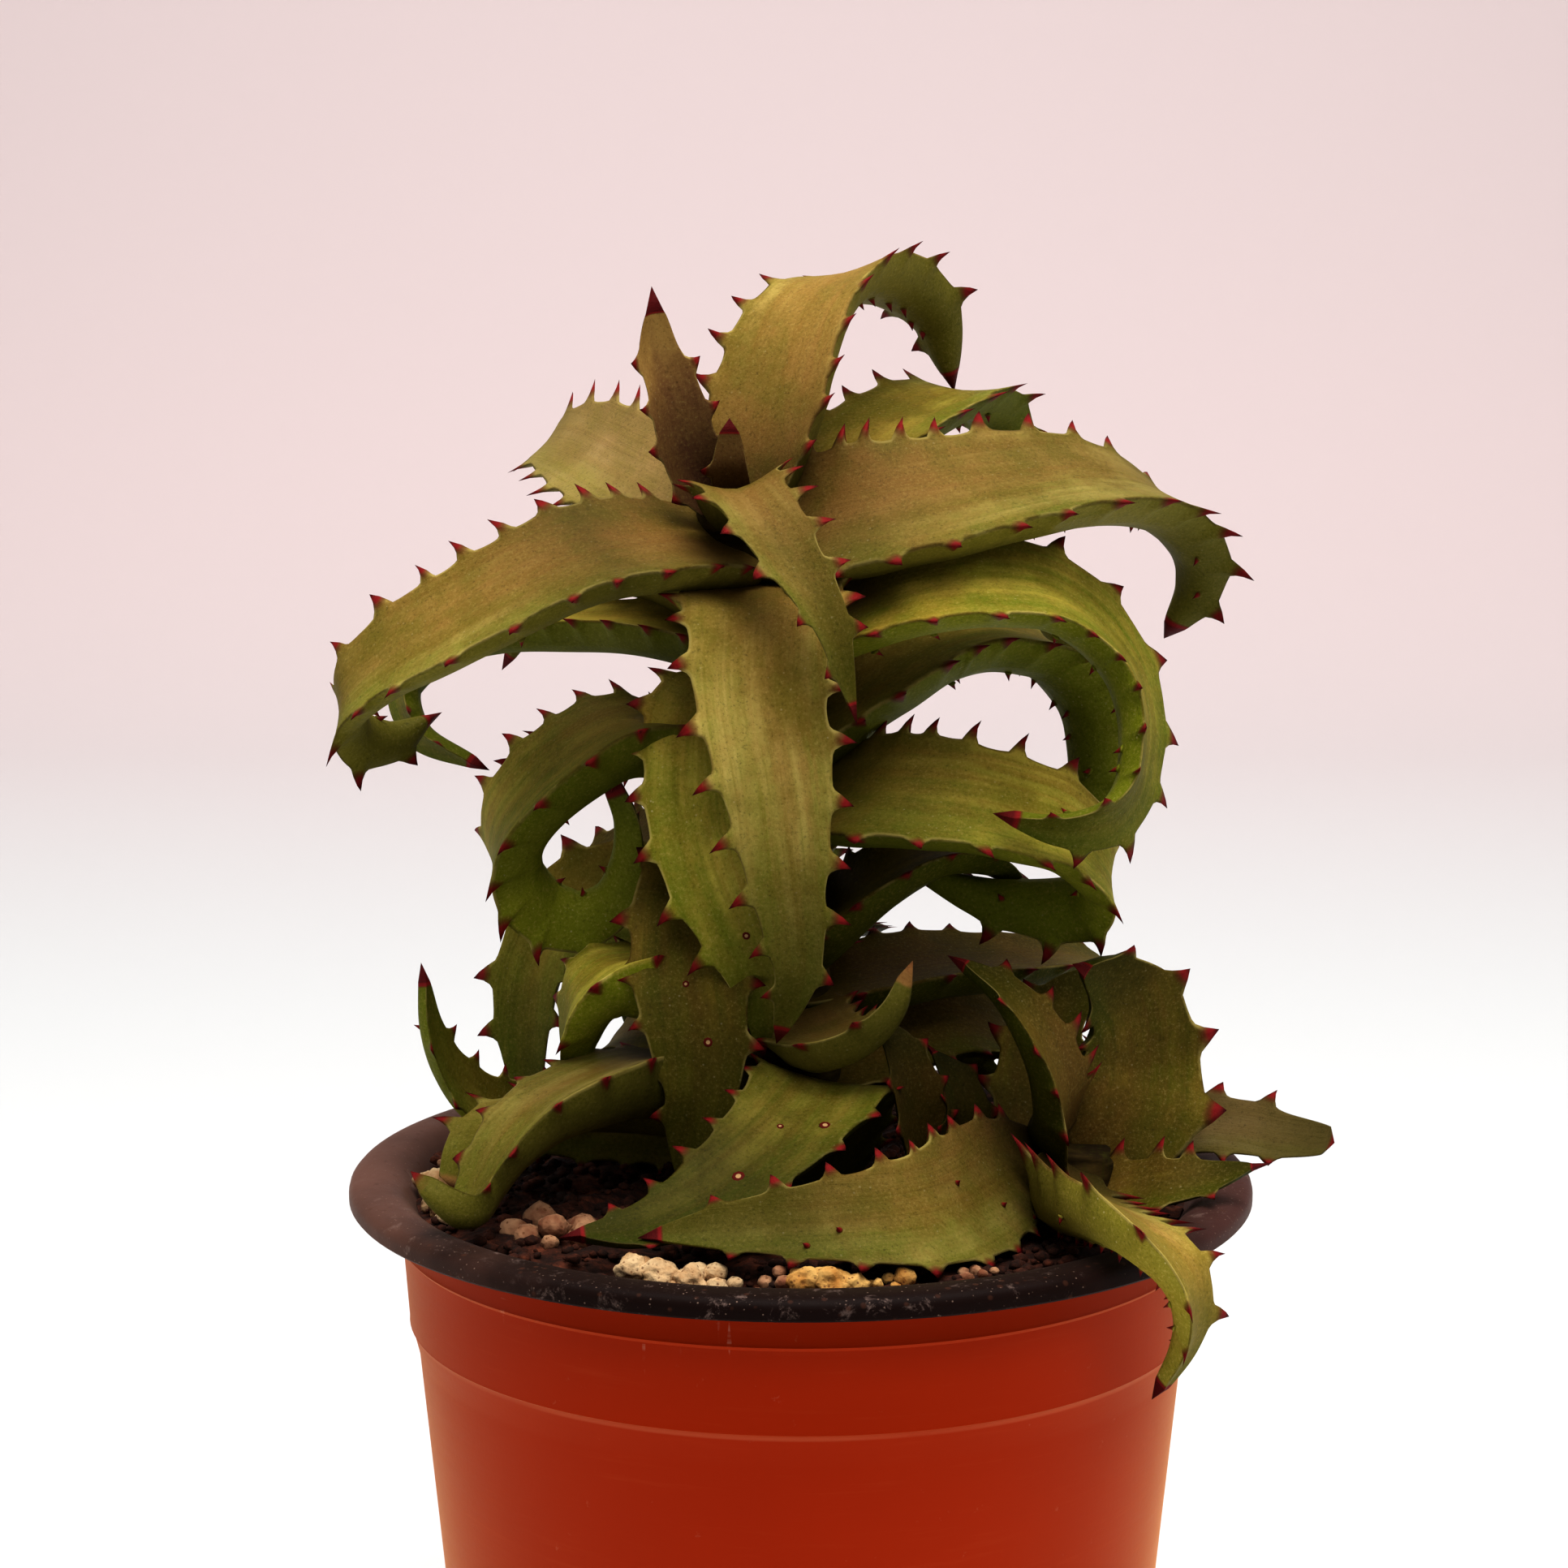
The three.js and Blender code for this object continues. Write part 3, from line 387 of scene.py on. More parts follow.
LEAVES = [
    leaf("leaf_crown_front", "olive", (0.25, -0.85, 0.45),
         [(-8, 1, 194), (-8.5, -8, 199), (-5.5, -17, 196), (-1, -23, 189.5), (3.5, -26, 182.5),
          (6.5, -26, 171.5)],
         width=11.5, channel=0.35, taper=1.7, tone=(0.66, 0.7, 0.66), blush=(0.5, 0.3)),
    leaf("leaf_crown_bud", "young", (0, -1, 0),
         [(-9, 1, 195.5), (-9.2, -3, 199.5), (-9.2, -4, 204)],
         width=5, tip_share=0.5, spike=1.8, teeth=0.7, tone=0.7, blush=1.5),
    leaf("leaf_crown_young", "young", (0.5, -0.85, 0.2),
         [(-10, 2, 195), (-13.5, -1, 200), (-16.3, -3, 209), (-18.2, -4, 214.3), (-18.6, -5, 219.2)],
         width=9, channel=0.45, tip_share=0.3, taper=3, spike=3.4, teeth=0.7, tone=(0.42, 0.55, 1.0, 1.4),
         blush=(1.6, 1.5, 1.0, 0.1, -0.4)),
    leaf("leaf_hanging_front", "olive", (0, -1, 0.1),
         [(-6, 1, 186), (-5, -14, 183), (-5, -20, 172.5), (-3, -23, 161), (-1.5, -23, 147.5),
          (-0.5, -21, 136.5), (-2.5, -18, 128.5)],
         width=22.5, taper=1.2, tone=(1.5, 1.3, 1.08, 0.82, 0.74), blush=(0.3, -0.1, -0.3)),
    leaf("leaf_crown_left", "olive", (-0.2, -0.55, 0.8),
         [(-9, 1, 190.5), (-19.5, -8, 191.7), (-28.5, -12, 190.2), (-36.5, -14, 186.1), (-45, -14, 181.4),
          (-53.5, -12, 176.7), (-59.8, -9, 170.3), (-59.5, -4, 165), (-54.5, 2, 163), (-50, 6, 165)],
         width=19.5, thickness=0.38, root_share=0.95, prickles=(-1, 8, 1),
         tone=(1.1, 0.5, 0.98, 0.92, 0.78), under_tone=1.2, blush=(0.5, 0.3, 0.1)),
    leaf("leaf_crown_right", "olive", (0.15, -0.42, 0.9),
         [(-5, 1, 192), (6.5, -6, 195), (17, -6, 197), (28.5, -2, 199.2), (40, 4, 199), (49.2, 12, 195.5),
          (54.7, 18, 188.3), (54.6, 22, 181.5), (51.8, 24, 176.3)],
         width=20.5, taper=2.7, tip_share=0.15, thickness=0.46, twist=(-20, -15), prickles=(-1, 10, 0.9),
         tone=(0.6, 0.8, 0.62, 0.6), under_tone=1.5, blush=(0.5, 0.1, 0.1)),
    leaf("leaf_crown_back", "olive", (-0.48, -0.58, 0.64),
         [(-7.5, 3, 195), (-6.1, 4, 202), (-4.2, 7, 210.5), (-0.8, 12, 219.3), (5.2, 22, 224.8),
          (12.3, 31, 224), (18.5, 37, 218.3), (20.9, 39, 210)],
         width=19, taper=2.5, tip_share=0.12, root_share=0.6, twist=(0, -30), prickles=(-1, 12, 1),
         tone=(0.68, 1.05, 1.05, 0.9), blush=(0.6, 0.5, 0.5)),
    leaf("leaf_crown_right_back", "green", (-0.2, -0.5, 0.85),
         [(-4, 5, 192), (8, 16, 203), (16, 25, 207), (22.5, 34, 208.5), (27, 42, 206), (29, 46, 200.6),
          (29.5, 48, 194), (29, 48, 188)],
         width=17, twist=(0, -25), prickles=(-1, 8, 1), tone=0.9),
    leaf("leaf_crown_left_back", "green", (-0.6, -0.45, 0.65),
         [(-10, 5, 192.5), (-19, 14, 196.5), (-26.5, 26, 199.2), (-33, 40, 201.2), (-37, 52, 200),
          (-38.5, 60, 195.5)],
         width=18, root_share=0.6, skin="pale", tone=0.7, blush=0.2),
    leaf("leaf_upper_left", "green", (-0.1, -0.1, 1),
         [(-8, 6, 177), (-21.5, 12, 179.4), (-31.5, 17, 179), (-41.5, 18, 177.6), (-50, 17, 174.3),
          (-55, 15, 168.5), (-52.5, 13, 162), (-44.5, 11, 158.4)],
         width=13, thickness=0.45, teeth=0.7),
    leaf("leaf_upper_right", "green", (0.55, -0.35, 0.75),
         [(-3, 2, 178), (9.5, -8, 184), (17, -10, 186), (24, -10, 186.5), (31.8, -8, 185.6),
          (38.5, -6, 181.7), (43.5, -6, 175), (45.2, -8, 168.9), (45.1, -11, 163.7), (43.5, -15, 158.4),
          (39.5, -19, 155.3), (32.6, -21, 154.7), (26.5, -21, 156.1)],
         width=17.5, thickness=0.38, twist=(0, -25), prickles=(-1, 14, 1),
         tone=(1.0, 1.2, 1.05, 1.05, 1.0), under_tone=1.25, blush=-0.4),
    leaf("leaf_upper_right_inner", "green", (0.3, -0.15, 0.95),
         [(-1.5, 3, 166), (9, 4, 174.3), (17.5, 9, 178), (26.5, 13, 178.6), (35, 17, 175.3),
          (40.2, 19, 167.8), (41, 18, 160), (39.3, 15, 152.8), (35.5, 12, 147.5)],
         width=20.5, thickness=0.4, twist=(0, -45), prickles=(-1, 14, 1), under_tone=1.3),
    leaf("leaf_middle_right", "green", (0.3, -0.6, 0.75),
         [(-1, 2, 157), (9.5, -11, 159.8), (19, -14, 159.3), (27.5, -13, 157.2), (36, -10, 153.8),
          (41.5, -6, 146.8), (38.5, -1, 141.3), (27.5, 2, 141), (16.5, 5, 144)],
         width=19, thickness=0.4, taper=2.3, prickles=(-1, 5, 1), tone=(0.55, 0.66, 1.3, 1.6, 1.4),
         blush=-0.3),
    leaf("leaf_hanging_left", "green", (-0.2, -1, 0.1),
         [(-7, 3, 172), (-12, -6, 169.5), (-13, -12, 160), (-11.5, -14, 150), (-8, -14, 140.5),
          (-5.5, -13, 133), (-5, -11, 125)],
         width=16, scars=[(0.74, -0.15)], tone=(1.4, 1.45, 1.5, 1.35), blush=-0.4),
    leaf("leaf_left_ring", "green", (-0.85, -0.4, 0.35),
         [(-6, 6, 160), (-13, 3, 164.8), (-20, -1.5, 167.9), (-25.5, -4, 167.3), (-31.2, -5, 163.6),
          (-37, -3.5, 158), (-41.2, 0, 151), (-41.3, 4, 144), (-36.4, 8, 138), (-29.5, 9, 136.4),
          (-24, 8, 139.5), (-21.5, 6, 145.5), (-21.5, 3, 152.5), (-23.5, 1, 157.5)],
         width=15.2, thickness=0.58, root_share=0.6, twist=(-15, 10), prickles=(-1, 8, 1),
         tone=(0.45, 0.6, 1.25, 1.15), under_tone=1.2, blush=-0.3),
    leaf("leaf_hanging_low", "brown", (-0.1, -1, 0.1),
         [(-4, 4, 146), (-13, -5, 145), (-14.5, -10, 137), (-13.5, -13.5, 128.5), (-13, -14.7, 120),
          (-14.5, -14, 113.5), (-15.5, -13, 108)],
         width=17, teeth=0.8, scars=[(0.32, -0.45), (0.5, 0.1), (0.66, -0.2)], tone=(0.82, 0.8, 0.62),
         blush=-0.2),
    leaf("leaf_low_young", "olive", (-0.1, -0.3, 0.95),
         [(-1, 2, 128), (2, -12, 127.5), (5, -16, 128.5), (8.5, -18, 130.5), (11, -19, 133),
          (12.5, -19, 136)],
         width=13, thickness=0.5, teeth=0.6, dry_from=0.96, tone=0.75, blush=0.4),
    leaf("leaf_low_centre", "green", (-0.3, -0.8, 0.5),
         [(2, 1, 108), (3.5, -12, 121.5), (0, -22, 120), (-5.5, -30, 116), (-13.5, -36, 111),
          (-20.5, -39, 109), (-27, -40, 108.5)],
         width=18, teeth=0.7, scars=[(0.52, 0.1), (0.68, -0.1), (0.48, -0.55)],
         tone=(0.82, 0.84, 0.3, 0.5), blush=(-0.4, -0.4, 0.0)),
    leaf("offset_leaf_front", "olive", (-0.1, -0.85, 0.5),
         [(33, -11, 109.5), (26.5, -22.5, 111.6), (22, -31, 111.2), (17, -38, 111), (11, -42, 111.2),
          (2.5, -44, 111.2), (-6.5, -43, 110.3), (-17.5, -42, 108.8)],
         width=19.5, taper=1.6, root_share=0.5, root_reach=0.35, teeth=0.62, prickles=(1, 4, 0.9),
         tone=(0.25, 0.6, 0.84, 0.6, 0.75)),
    leaf("offset_leaf_folded", "brown", (0.8, -0.45, 0.4),
         [(35.5, -9.5, 112), (35.6, -16, 117), (34, -19, 124.4), (30.9, -20, 130.2), (26.8, -19, 134.5),
          (21.1, -17, 137.5)],
         width=11.5, channel=0.3, root_share=0.5, thickness=0.5, tone=0.75, blush=0.7),
    leaf("offset_leaf_over_rim", "green", (0.35, 0.35, 0.87),
         [(35.5, -14.5, 110.3), (34.8, -20, 110.2), (35.3, -30, 112), (37.5, -39.5, 113.1),
          (41.2, -47.5, 112.3), (45.5, -51.8, 109), (47.6, -52.3, 105), (48, -51.6, 100.5),
          (46.8, -50, 96), (44.2, -48.2, 91.3)],
         width=12.5, thickness=0.53, root_share=0.6, root_reach=0.2, twist=(0, 32), teeth=1.3,
         prickles=(-1, 20, 0.85), skin="olive", tone=(0.28, 0.6, 1.3, 1.5), under_tone=1.7,
         blush=(0.0, 0.4, 0.8)),
    leaf("offset_leaf_right_low", "brown", (0, -0.6, 0.8),
         [(36, -10, 105.5), (42.5, -13, 107), (47.5, -16, 108.5), (52.5, -17, 109.5), (58, -18, 111)],
         width=9, root_share=0.6, tone=0.8),
    leaf("offset_leaf_broad", "brown", (0.35, -0.85, 0.4),
         [(36, -8, 110), (41, -7.5, 113), (44.3, -6, 117), (44.8, -4, 122), (43.8, -5, 128.2),
          (40.8, -8, 132.5), (37, -12, 135)],
         width=20.3, taper=2.2, root_share=0.55, root_reach=0.3, tone=0.85),
    leaf("offset_leaf_right", "brown", (0, -0.65, 0.75),
         [(37, -4, 107.8), (45, 3, 109.5), (52, 4.5, 110.7), (58, 2.5, 110.9), (64, -1.5, 110.6),
          (69.3, -5, 110.9)],
         width=10.3, tip_share=0.45, root_share=0.5, spike=1.2, teeth=0.75, skin="pale", tone=0.34,
         blush=0.3),
    leaf("leaf_middle_right_under", "brown", (0.1, -0.1, 1),
         [(-1, 3, 137), (9, -2, 147), (17.5, 0, 150), (25, 4, 148), (30, 8, 143.5)],
         width=15, thickness=0.4, teeth=0.6),
    leaf("leaf_low_left", "olive", (-0.3, -0.14, 0.95),
         [(-3, 4, 117.5), (-12, 0.5, 121.3), (-21, -6.5, 123.5), (-28.5, -15, 122.4), (-34.5, -21, 120),
          (-38.5, -25, 116.3), (-41, -27.5, 112), (-42, -31, 110), (-44, -32.5, 111.3), (-46, -32.5, 113)],
         width=16, thickness=0.58, root_share=0.6, teeth=0.6, dry_from=0.985,
         tone=(0.4, 0.55, 0.75, 0.85)),
    leaf("leaf_low_left_rough", "olive", (-0.5, -0.4, 0.8),
         [(-3, 5, 111), (-18, 4, 114), (-27, 2, 115), (-34, -4, 115.5), (-39, -11, 115.5),
          (-43, -16, 112.5), (-44.5, -18, 109)],
         width=14, tip_share=0.4, spike=1.2, dry_from=0.98),
    leaf("leaf_low_left_raised", "green", (0.2, -0.85, 0.5),
         [(-3, 9, 107), (-20, 12, 108.5), (-34.2, 9.5, 110), (-41.2, 4, 113), (-45.6, -1, 119),
          (-48, -4, 126), (-49, -4, 132)],
         width=11.5, thickness=0.45, teeth=0.7, prickles=(-1, 5, 1), tone=0.9, under_tone=1.5),
    leaf("leaf_left_low_arch", "green", (-0.6, -0.3, 0.7),
         [(-3, 6, 131), (-13, 4, 133.8), (-20, -0.5, 135.5), (-26, -4, 135), (-30.3, -5, 131.3),
          (-32, -3, 125), (-31.5, 0, 117)],
         width=18.5, thickness=0.55, root_share=0.6, teeth=0.7, tone=1.75, blush=-0.2),
    leaf("leaf_left_drooping", "green", (-0.6, -0.75, 0.3),
         [(-3, 7, 135), (-14, 12, 138), (-25.5, 17, 139.5), (-33.5, 20, 136.5), (-37.5, 20, 129.5),
          (-38.5, 18, 121.5), (-38, 16.5, 112.5)],
         width=16, root_share=0.5, root_reach=0.3, tip_share=0.3, spike=1.2),
    leaf("leaf_left_inner", "brown", (-0.4, -0.5, 0.8),
         [(-5, 6, 153), (-14, 14, 150.5), (-21.5, 23, 147.5), (-28, 31, 143.5), (-33.5, 35, 138.5),
          (-35.5, 37, 132), (-34.5, 37, 126)],
         width=13, root_share=0.6),
    leaf("leaf_left_low_back", "brown", (-0.5, -0.2, 0.8),
         [(-3, 8, 121), (-11, 13, 121.2), (-19.5, 17.5, 121), (-25, 24, 119), (-28.5, 30, 114.5),
          (-29, 32, 109.5)],
         width=11, root_share=0.6),
    leaf("leaf_low_right", "brown", (0, -0.25, 0.97),
         [(-1, 5, 130), (10, 8, 132), (19, 12, 133), (28.5, 18, 132), (36.5, 24, 130.5), (44, 30, 127.5),
          (48, 34, 121.5)],
         width=16, thickness=0.4, teeth=0.6, blush=0.4),
    leaf("leaf_low_right_under", "brown", (0.1, -0.5, 0.85),
         [(1, 6, 119.5), (12.5, 12, 122.5), (21.5, 16, 123.3), (28.5, 20, 120.5), (33.5, 24, 115),
          (35, 26, 108.5)],
         width=17, teeth=0.6, blush=0.4),
    leaf("leaf_right_behind", "brown", (0, -0.5, 0.8),
         [(-1, 7, 134), (5, 22, 135.5), (8.5, 32, 133), (12, 40, 131)],
         width=9, root_share=0.6, tone=0.7),
    leaf("pup_leaf_left", "brown", (0.5, -0.7, 0.5),
         [(17.5, -12.5, 108), (16, -16, 117.5), (14, -16, 124), (11.5, -15, 127.5), (8, -14, 128)],
         width=9, channel=0.35, root_share=0.5, root_reach=0.3, teeth=0.6, dry_from=0.85, tone=0.4,
         blush=0.8),
    leaf("pup_leaf_right", "brown", (0.5, -0.6, 0.5),
         [(20, -10.8, 109), (21.8, -11, 116.5), (20, -9.5, 121), (17.5, -7.5, 123.5)],
         width=8, channel=0.35, root_share=0.5, root_reach=0.3, teeth=0.6, tone=0.32),
    leaf("leaf_back_high", "olive", (0, 0.5, 0.85),
         [(-7, 6, 185), (-8, 20, 191), (-9, 35, 190), (-9, 47, 181), (-8, 52, 168), (-7, 47, 157)],
         width=16, prickles=(1, 5, 1)),
    leaf("leaf_back_high_left", "olive", (-0.3, 0.4, 0.85),
         [(-8, 7, 181), (-18, 19, 185), (-29, 31, 183), (-38, 39, 177), (-42, 42, 170)],
         width=15),
    leaf("leaf_back_high_right", "olive", (0.4, 0.4, 0.8),
         [(-3, 8, 179.2), (8, 20, 185), (21, 30, 185), (32, 37, 179), (39, 40, 170)],
         width=15),
    leaf("leaf_back_middle", "green", (0, 0.5, 0.85),
         [(-5, 7, 163), (-6, 22, 169), (-7, 36, 167), (-7, 46, 157), (-6, 48, 145), (-5, 43, 136)],
         width=16, scars=[(0.5, 0.2), (0.62, -0.3)]),
    leaf("leaf_back_middle_left", "green", (-0.3, 0.4, 0.85),
         [(-7, 9, 158.5), (-18, 22, 163), (-31, 30, 160), (-40, 35, 154), (-42, 37, 149)],
         width=14, root_share=0.6),
    leaf("leaf_back_middle_right", "green", (0.4, 0.4, 0.8),
         [(-2, 7, 153), (9, 21, 157), (20, 32, 156), (29, 39, 150), (33, 42, 143)],
         width=14),
    leaf("leaf_back_low", "green", (0, 0.5, 0.85),
         [(-3, 8, 145), (-3, 22, 147.5), (-2, 35, 144), (-1, 44, 134), (0, 45, 122.5), (1, 41, 114)],
         width=15),
    leaf("leaf_back_low_left", "brown", (-0.3, 0.4, 0.85),
         [(-2, 8, 127), (-12, 22, 131), (-20, 34, 128), (-24, 41, 121), (-24, 43, 113)],
         width=13),
    leaf("leaf_back_low_right", "brown", (0.4, 0.4, 0.8),
         [(2, 9, 112), (11, 22, 117), (20, 32, 116.5), (27, 38, 111), (30, 40, 107)],
         width=13, root_share=0.6),
    leaf("leaf_back_soil", "brown", (0, 0.4, 0.9),
         [(-1, 10, 111.5), (-4, 22, 115.5), (-8, 35, 114), (-11, 43, 109)],
         width=13, root_share=0.6),
    leaf("offset_leaf_back", "brown", (0.2, 0.4, 0.9),
         [(35, -5, 108), (35.5, 5, 113.5), (38.5, 15, 117), (44, 26, 116.5), (48, 33, 112)],
         width=11, root_share=0.6),
    leaf("offset_leaf_back_left", "brown", (-0.1, -0.9, 0.45),
         [(33, -6, 109.5), (31.5, -1, 114.5), (32.5, 4, 121.5), (36, 7.5, 127.5), (40.5, 10, 131)],
         width=12, root_share=0.6),
]


def chance(seed, item):
    wave = math.sin(seed * 12.9898 + item * 78.233) * 43758.5453
    return wave - math.floor(wave)


def smooth_spine(points, count):
    """count + 1 evenly spaced places on a centripetal curve through the points, and its length."""
    knots = np.array(points, dtype=float)
    ends = [2 * knots[0] - knots[1], *knots, 2 * knots[-1] - knots[-2]]
    steps = np.linspace(0, 1, 40, endpoint=False)[:, None]
    runs = []
    for before, start, stop, after in zip(ends, ends[1:], ends[2:], ends[3:]):
        pairs = ((before, start), (start, stop), (stop, after))
        near, mid, far = (math.sqrt(np.linalg.norm(b - a)) for a, b in pairs)
        leave = mid * ((start - before) / near - (stop - before) / (near + mid) + (stop - start) / mid)
        arrive = mid * ((stop - start) / mid - (after - start) / (mid + far) + (after - stop) / far)
        runs.append(start + leave * steps + (3 * (stop - start) - 2 * leave - arrive) * steps ** 2
                    + (2 * (start - stop) + leave + arrive) * steps ** 3)
    path = np.vstack([*runs, knots[-1:]])
    reach = np.concatenate([[0], np.cumsum(np.linalg.norm(np.diff(path, axis=0), axis=1))])
    wanted = np.linspace(0, reach[-1], count + 1)
    return np.stack([np.interp(wanted, reach, path[:, k]) for k in range(3)], axis=1), reach[-1]


def unit(vector):
    return vector / np.linalg.norm(vector)


def mirrored(vector, normal):
    size = normal @ normal
    return vector if size < 1e-12 else vector - (2 * (vector @ normal) / size) * normal


def carried_frames(places, face, twist):
    """Direction, upper-face normal and right-hand side at each place, carried from mid-length."""
    count = len(places) - 1
    along = np.gradient(places, axis=0)
    along /= np.linalg.norm(along, axis=1)[:, None]
    ups = np.zeros_like(places)
    middle = count // 2
    start = np.array(face, dtype=float)
    ups[middle] = unit(start - (start @ along[middle]) * along[middle])
    for steps in (range(middle, count), range(middle, 0, -1)):
        for here in steps:
            there = here + 1 if steps.step > 0 else here - 1
            step = places[there] - places[here]
            up = mirrored(ups[here], step)
            ups[there] = mirrored(up, along[there] - mirrored(along[here], step))
    share = np.linspace(0, 1, count + 1)
    turn = np.where(share < 0.5, -twist[0] * (1 - 2 * share), twist[1] * (2 * share - 1))
    turn = np.radians(turn)[:, None]
    sides = np.cross(along, ups)
    ups = ups * np.cos(turn) + sides * np.sin(turn)
    return along, ups, np.cross(along, ups)


def tooth_places(seed, side, length):
    places = []
    at = TOOTH_FIRST[side]
    near, far = TOOTH_PITCH
    while at < length - TOOTH_LAST:
        places.append(at)
        at += near + (far - near) * min(1, at / TOOTH_PITCH_REACH)
        at += TOOTH_JITTER * (chance(seed, side * 50 + len(places)) - 0.5)
    return places


def half_widths(blade, share):
    body = (1 - share ** blade["taper"]) ** 0.85
    widening = np.minimum(share / blade["root_reach"], 1) ** 0.7
    root = blade["root_share"] + (1 - blade["root_share"]) * widening
    return blade["width"] / 2 * root * (blade["tip_share"] + (1 - blade["tip_share"]) * body)


def toothed_margins(blade, seed, reach, wide):
    """How far both margins stand out, how red they are and how far they lean ahead."""
    jut, crest, slide = np.zeros((3, 2, len(reach)))
    for side in (0, 1):
        for item, tooth in enumerate(tooth_places(seed, side, reach[-1])):
            size = TOOTH_HEIGHT * min(1, 0.35 + 0.65 * np.interp(tooth, reach, wide) / TOOTH_FULL_WIDTH)
            size *= (0.85 + 0.35 * chance(seed, 7 * item + side)) * blade["teeth"]
            apart = np.abs(reach - tooth)
            narrow = np.clip(1 - apart / TOOTH_FOOT, 0, 1) ** 1.2
            flare = np.clip(1 - apart / TOOTH_FLARE, 0, 1) ** 1.6
            nearest = int(np.argmin(apart))
            narrow[nearest] = 1
            slide[side, nearest] = tooth - reach[nearest]
            jut[side] += size * (0.84 * narrow + 0.16 * flare)
            crest[side] = np.maximum(crest[side], narrow)
            slide[side] += TOOTH_LEAN * size * narrow ** 2
    return jut, crest, slide


def closed_tube(rings, around):
    """Faces of a tube whose far end and near end close in the two points after its rings."""
    last = (rings - 1) * around
    faces = []
    for k in range(around):
        n = (k + 1) % around
        faces.extend((i + k, i + n, i + n + around, i + k + around) for i in range(0, last, around))
        faces.append((last + k, last + n, last + around))
        faces.append((n, k, last + around + 1))
    return faces


def stud_points(base, out, ahead, rings, lean, height):
    """A small round stud on a leaf, ring by ring, then its peak and the middle of its foot."""
    aside = np.cross(ahead, out)
    points = []
    for radius, rise in rings:
        for corner in range(STUD_SIDES):
            turn = 2 * math.pi * corner / STUD_SIDES
            spoke = radius * (math.cos(turn) * ahead + math.sin(turn) * aside)
            points.append(base + spoke + out * rise + ahead * lean * max(0, rise))
    points.append(base + out * height + ahead * lean * height)
    points.append(base + out * (rings[0][1] - 0.1))
    return points


def leaf_studs(blade, seed):
    """Prickles and healed spots: where they sit, their rings, and how red and how scarred those are."""
    studs = []
    side, amount, scale = blade["prickles"]
    for k in range(amount):
        spot = 0.15 + 0.78 * (k + chance(seed, 400 + k)) / amount
        x = 1.3 * chance(seed, 500 + k) - 0.65
        rings = [(0.62 * scale, -0.15), (0.4 * scale, 0.12 * scale), (0.2 * scale, 0.6 * scale)]
        studs.append((spot, x, side < 0, rings, 0.55, 1.15 * scale, (0.1, 0.45, 0.8, 1), (0, 0, 0, 0)))
    for spot, x in blade["scars"]:
        size = 0.55 + 0.5 * chance(seed, 60 + round(100 * spot))
        rings = [(0.95 * size, -0.05), (0.75 * size, 0.08), (0.46 * size, 0.1), (0.3 * size, 0.06)]
        studs.append((spot, x, False, rings, 0, 0.05, (0, 0, 0, 0, 0), (0.05, 0.5, 0.55, 1, 1)))
    return studs


def from_root_to_tip(levels, share):
    levels = np.atleast_1d(levels)
    return np.interp(share, np.linspace(0, 1, len(levels)), levels)


